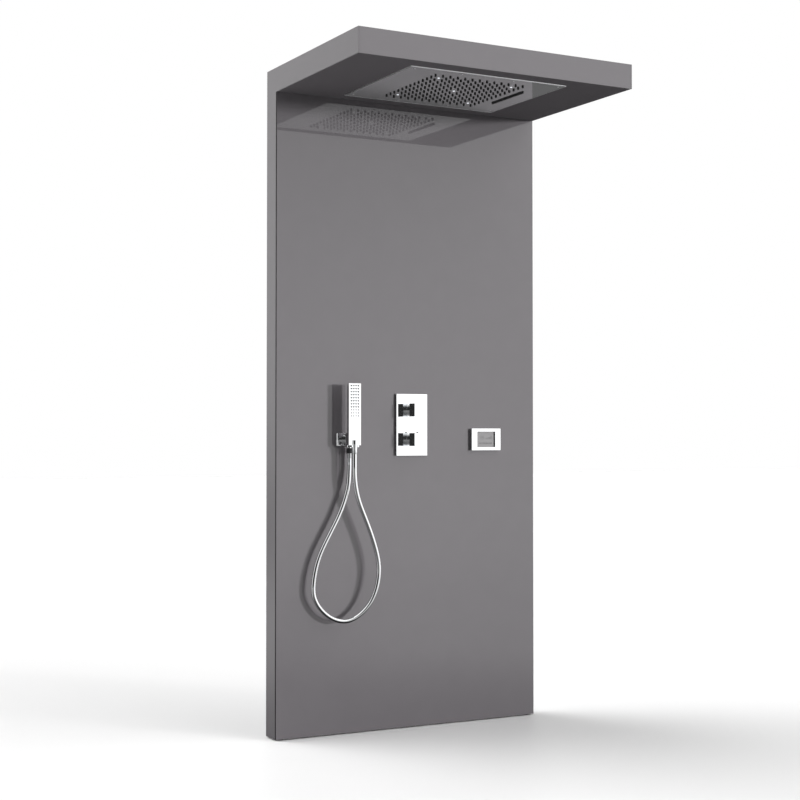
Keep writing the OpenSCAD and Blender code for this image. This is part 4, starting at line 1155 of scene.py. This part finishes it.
@dataclass
class ShowerHead(Assembly):
    """The flush head in the canopy's underside."""

    centre_y: float = -372.5 * MM
    face_z: float = 1017 * MM
    pitch: float = 27 * MM
    rows: int = 13
    slot_x: float = 207 * MM
    slot_length: float = 185 * MM
    lip_mm: tuple[float, float] = (1.2, 3.2)
    lip_drop: float = 4 * MM
    lip_round: float = 0.4 * MM
    lamp_step: float = 135 * MM
    lens_mm: float = 3.95
    lens_sag_mm: float = 1.1
    screw_mm: float = 5
    screw_inset: float = 20 * MM

    DRESS = (("head_face_plate", MIRROR_STEEL, 0, 2), ("nozzle_mat", SILICONE, 0, 2),
             ("head_tray cascade_spout", SHEET, 0.6, 2), ("head_elbows", BRASS, 1.0, 2),
             ("led_lamps", LENS, 0, 2))

    def add_pieces(self) -> None:
        """Adds the lenses, the plate's rim and screws, the nozzles and the slot's lip."""
        self.fit_lenses()
        self.trim_edge()
        self.stand_nozzles()
        self.line_slot()
        self.drive_screws()

    def fit_lenses(self) -> None:
        """Fits a domed lens in each lamp's hole."""
        mesh = bmesh.new()
        r, sag, s = self.lens_mm, self.lens_sag_mm, self.lamp_step
        dome = [(r * math.sin(math.radians(a)), -sag * math.cos(math.radians(a)))
                for a in range(0, 91, 15)]
        for x, y in ((0, 0), (-s, -s), (s, -s), (-s, s), (s, s)):
            add_turned(mesh, [*dome, (r, 1), (0, 1)],
                       Vector((x, self.centre_y + y, self.face_z)), Axis.Z, 32)
        self.shop.piece("lamp_lenses", mesh, LENS, Body.CASING)

    def trim_edge(self) -> None:
        """Runs a thin ground rim round the plate, drawn in a little toward its foot."""
        low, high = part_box("head_face_plate")
        wide, deep = (high.x - low.x) / 2, (high.y - low.y) / 2
        mesh = bmesh.new()
        rings = []
        # Each ring has how far it stands out past the plate, and its height over the face.
        for out, z in ((0.5, -0.15), (0.5, 1.3), (0.95, 2.9), (-0.5, 2.9), (-0.5, -0.15)):
            x, y = wide + out * MM, deep + out * MM
            rings.append([mesh.verts.new((a * x, self.centre_y + b * y, self.face_z + z * MM))
                          for a, b in ((-1, -1), (1, -1), (1, 1), (-1, 1))])
        join_rings(mesh, rings + rings[:1])
        self.shop.piece("face_plate_rim", mesh, EDGE_STEEL, Body.CASING)

    def stand_nozzles(self) -> None:
        """Stands a tapered silicone tip out of every spray hole; the lamps take five places."""
        mesh = bmesh.new()
        profile = [(0, -4.2), (1, -4.2), (1.2, -4.6), (3, -4.6), (3.4, -4.2), (4, 0.6), (0, 0.6)]
        lattice = range(-(self.rows // 2), self.rows // 2 + 1)
        lamp = round(self.lamp_step / self.pitch)
        for i in lattice:
            for j in lattice:
                if (i, j) != (0, 0) and {abs(i), abs(j)} != {lamp}:
                    place = Vector((i * self.pitch, self.centre_y + j * self.pitch, self.face_z))
                    add_turned(mesh, profile, place, Axis.Z, 20)
        self.shop.piece("nozzle_tips", mesh, SILICONE, Body.CASING)

    def line_slot(self) -> None:
        """Lines the cascade slot with a silicone lip that stands below the plate."""
        inner, outer = self.lip_mm
        half = self.slot_length / 2
        end = half + (outer - inner) * MM
        mesh = bmesh.new()
        # Partly painted shade: the black lip, wider than the slot, also stands for the shade deep
        # in the slot.
        for left, right, low, high in (
                (-outer, -inner, -end, end), (inner, outer, -end, end),
                (-inner, inner, -end, -half), (-inner, inner, half, end)):
            add_block(mesh, Vector((self.slot_x + left * MM, self.centre_y + low,
                                    self.face_z - self.lip_drop)),
                      Vector((self.slot_x + right * MM, self.centre_y + high, self.face_z)),
                      self.lip_round)
        self.shop.piece("slot_lip", mesh, SILICONE, Body.CASING)

    def drive_screws(self) -> None:
        """Drives a row of flush socket screws along two sides of the face plate."""
        low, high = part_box("head_face_plate")
        wide, deep = high.x - low.x, (high.y - low.y) / 2 - self.screw_inset
        mesh = bmesh.new()
        r = self.screw_mm
        screw = [(0, 1), (1.5, 1), (1.6, -0.5), (r - 0.5, -0.5), (r, 0), (2.4, 0), (2.4, 14),
                 (0, 14)]
        for x in (self.screw_inset - wide / 2, -wide / 6, wide / 6, wide / 2 - self.screw_inset):
            for y in (-deep, deep):
                place = Vector((x, self.centre_y + y, self.face_z))
                add_turned(mesh, screw, place, Axis.Z, 36)
        self.shop.piece("face_plate_screws", mesh, MIRROR_STEEL, Body.CASING, ["head_screws"])


# ---- Casing, frame, pipes and wires ----


@dataclass
class Casing(Assembly):
    """The glossy front sheet and the painted skins round it."""

    DRESS = (("front_sheet", LAMINATE, 0.4, 2), ("canopy_fascia", SHADED_FASCIA_PAINT, 0.5, 2),
             ("side_cheek_left side_cheek_right canopy_cover bottom_sill", PAINT, 0.5, 2),
             ("canopy_soffit", MATT_PAINT, 0.5, 2))


@dataclass
class SupportFrame(Assembly):
    """The galvanised frame that hangs on the wall."""

    bead: float = 2.2 * MM
    bead_start: float = 3 * MM
    bead_step: float = 2 * MM
    ripple: float = 0.12
    ripple_turn: float = 2.1
    bar_levels: tuple[float, ...] = (-1.072, -0.9, -0.241, 0.099, 0.5, 0.9)
    bar_half: float = 20 * MM

    DRESS = (("frame_upright_left frame_upright_right frame_crossbars", ZINC, 2.5, 2),
             ("canopy_arms canopy_crossbars", ZINC, 2.5, 2),
             ("corner_gussets wall_cleats hook_cleats", ZINC, 0.6, 2),
             ("frame_bolts", ZINC, 0.5, 2), ("levelling_feet", BLACK_ABS, 0.8, 2))

    def add_pieces(self) -> None:
        """Lays a rippled fillet round each end of each crossbar."""
        low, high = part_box("frame_crossbars")
        mesh = bmesh.new()
        for x in (low.x, high.x):
            for z in self.bar_levels:
                self.add_fillet(mesh, x, low.y + self.bead_start, high.y, z)
        self.shop.piece("frame_welds", mesh, ZINC, Body.CASING)

    def add_fillet(self, mesh: bmesh.types.BMesh, x: float, front: float, back: float,
                   level: float) -> None:
        """Adds one rippled bead on the back and the two level sides of a square tube.

        Args:
            mesh: the mesh that gets the bead.
            x: where the tube ends.
            front: where the bead starts and ends.
            back: the tube's back plane.
            level: the tube's middle height.
        """
        foot, top = level - self.bar_half, level + self.bar_half
        corners = [Vector((x, y, z)) for y, z in ((front, foot), (back, foot), (back, top),
                                                  (front, top))]
        line = []
        for a, b in zip(corners, corners[1:]):
            count = max(2, round((b - a).length / self.bead_step))
            line += [a.lerp(b, i / count) for i in range(count)]
        line.append(corners[-1])
        radii = [self.bead * (1 + self.ripple * math.sin(self.ripple_turn * i))
                 for i in range(len(line))]
        add_tube(mesh, line, radii, 6, Vector((1, 0, 0)))


@dataclass
class Services(Assembly):
    """The pipes, the wires and their boxes behind the sheet."""

    DRESS = (("riser_pipes handset_pipe", COPPER, 0, 2), ("wiring", CABLE_PVC, 0, 2),
             ("pipe_clips cable_gland", BLACK_ABS, 0.4, 2), ("transformer", BLACK_ABS, 2.0, 3))


def main() -> None:
    """Builds the camera and the hose first, then the rest, piece by piece."""
    logging.basicConfig(level=logging.INFO, format="%(name)s %(message)s")
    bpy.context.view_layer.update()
    shop = Workshop(frame["nodes"])
    studio = Studio()
    studio.place_camera()
    hand_shower = HandShower(shop)
    hand_shower.run_hose()
    hand_shower.build()
    for assembly in (Mixer(shop), WallControl(shop), ShowerHead(shop), Casing(shop),
                     SupportFrame(shop), Services(shop)):
        assembly.build()
        LOG.info("%s is dressed", type(assembly).__name__)
    studio.build()


if __name__ == "__main__":
    main()
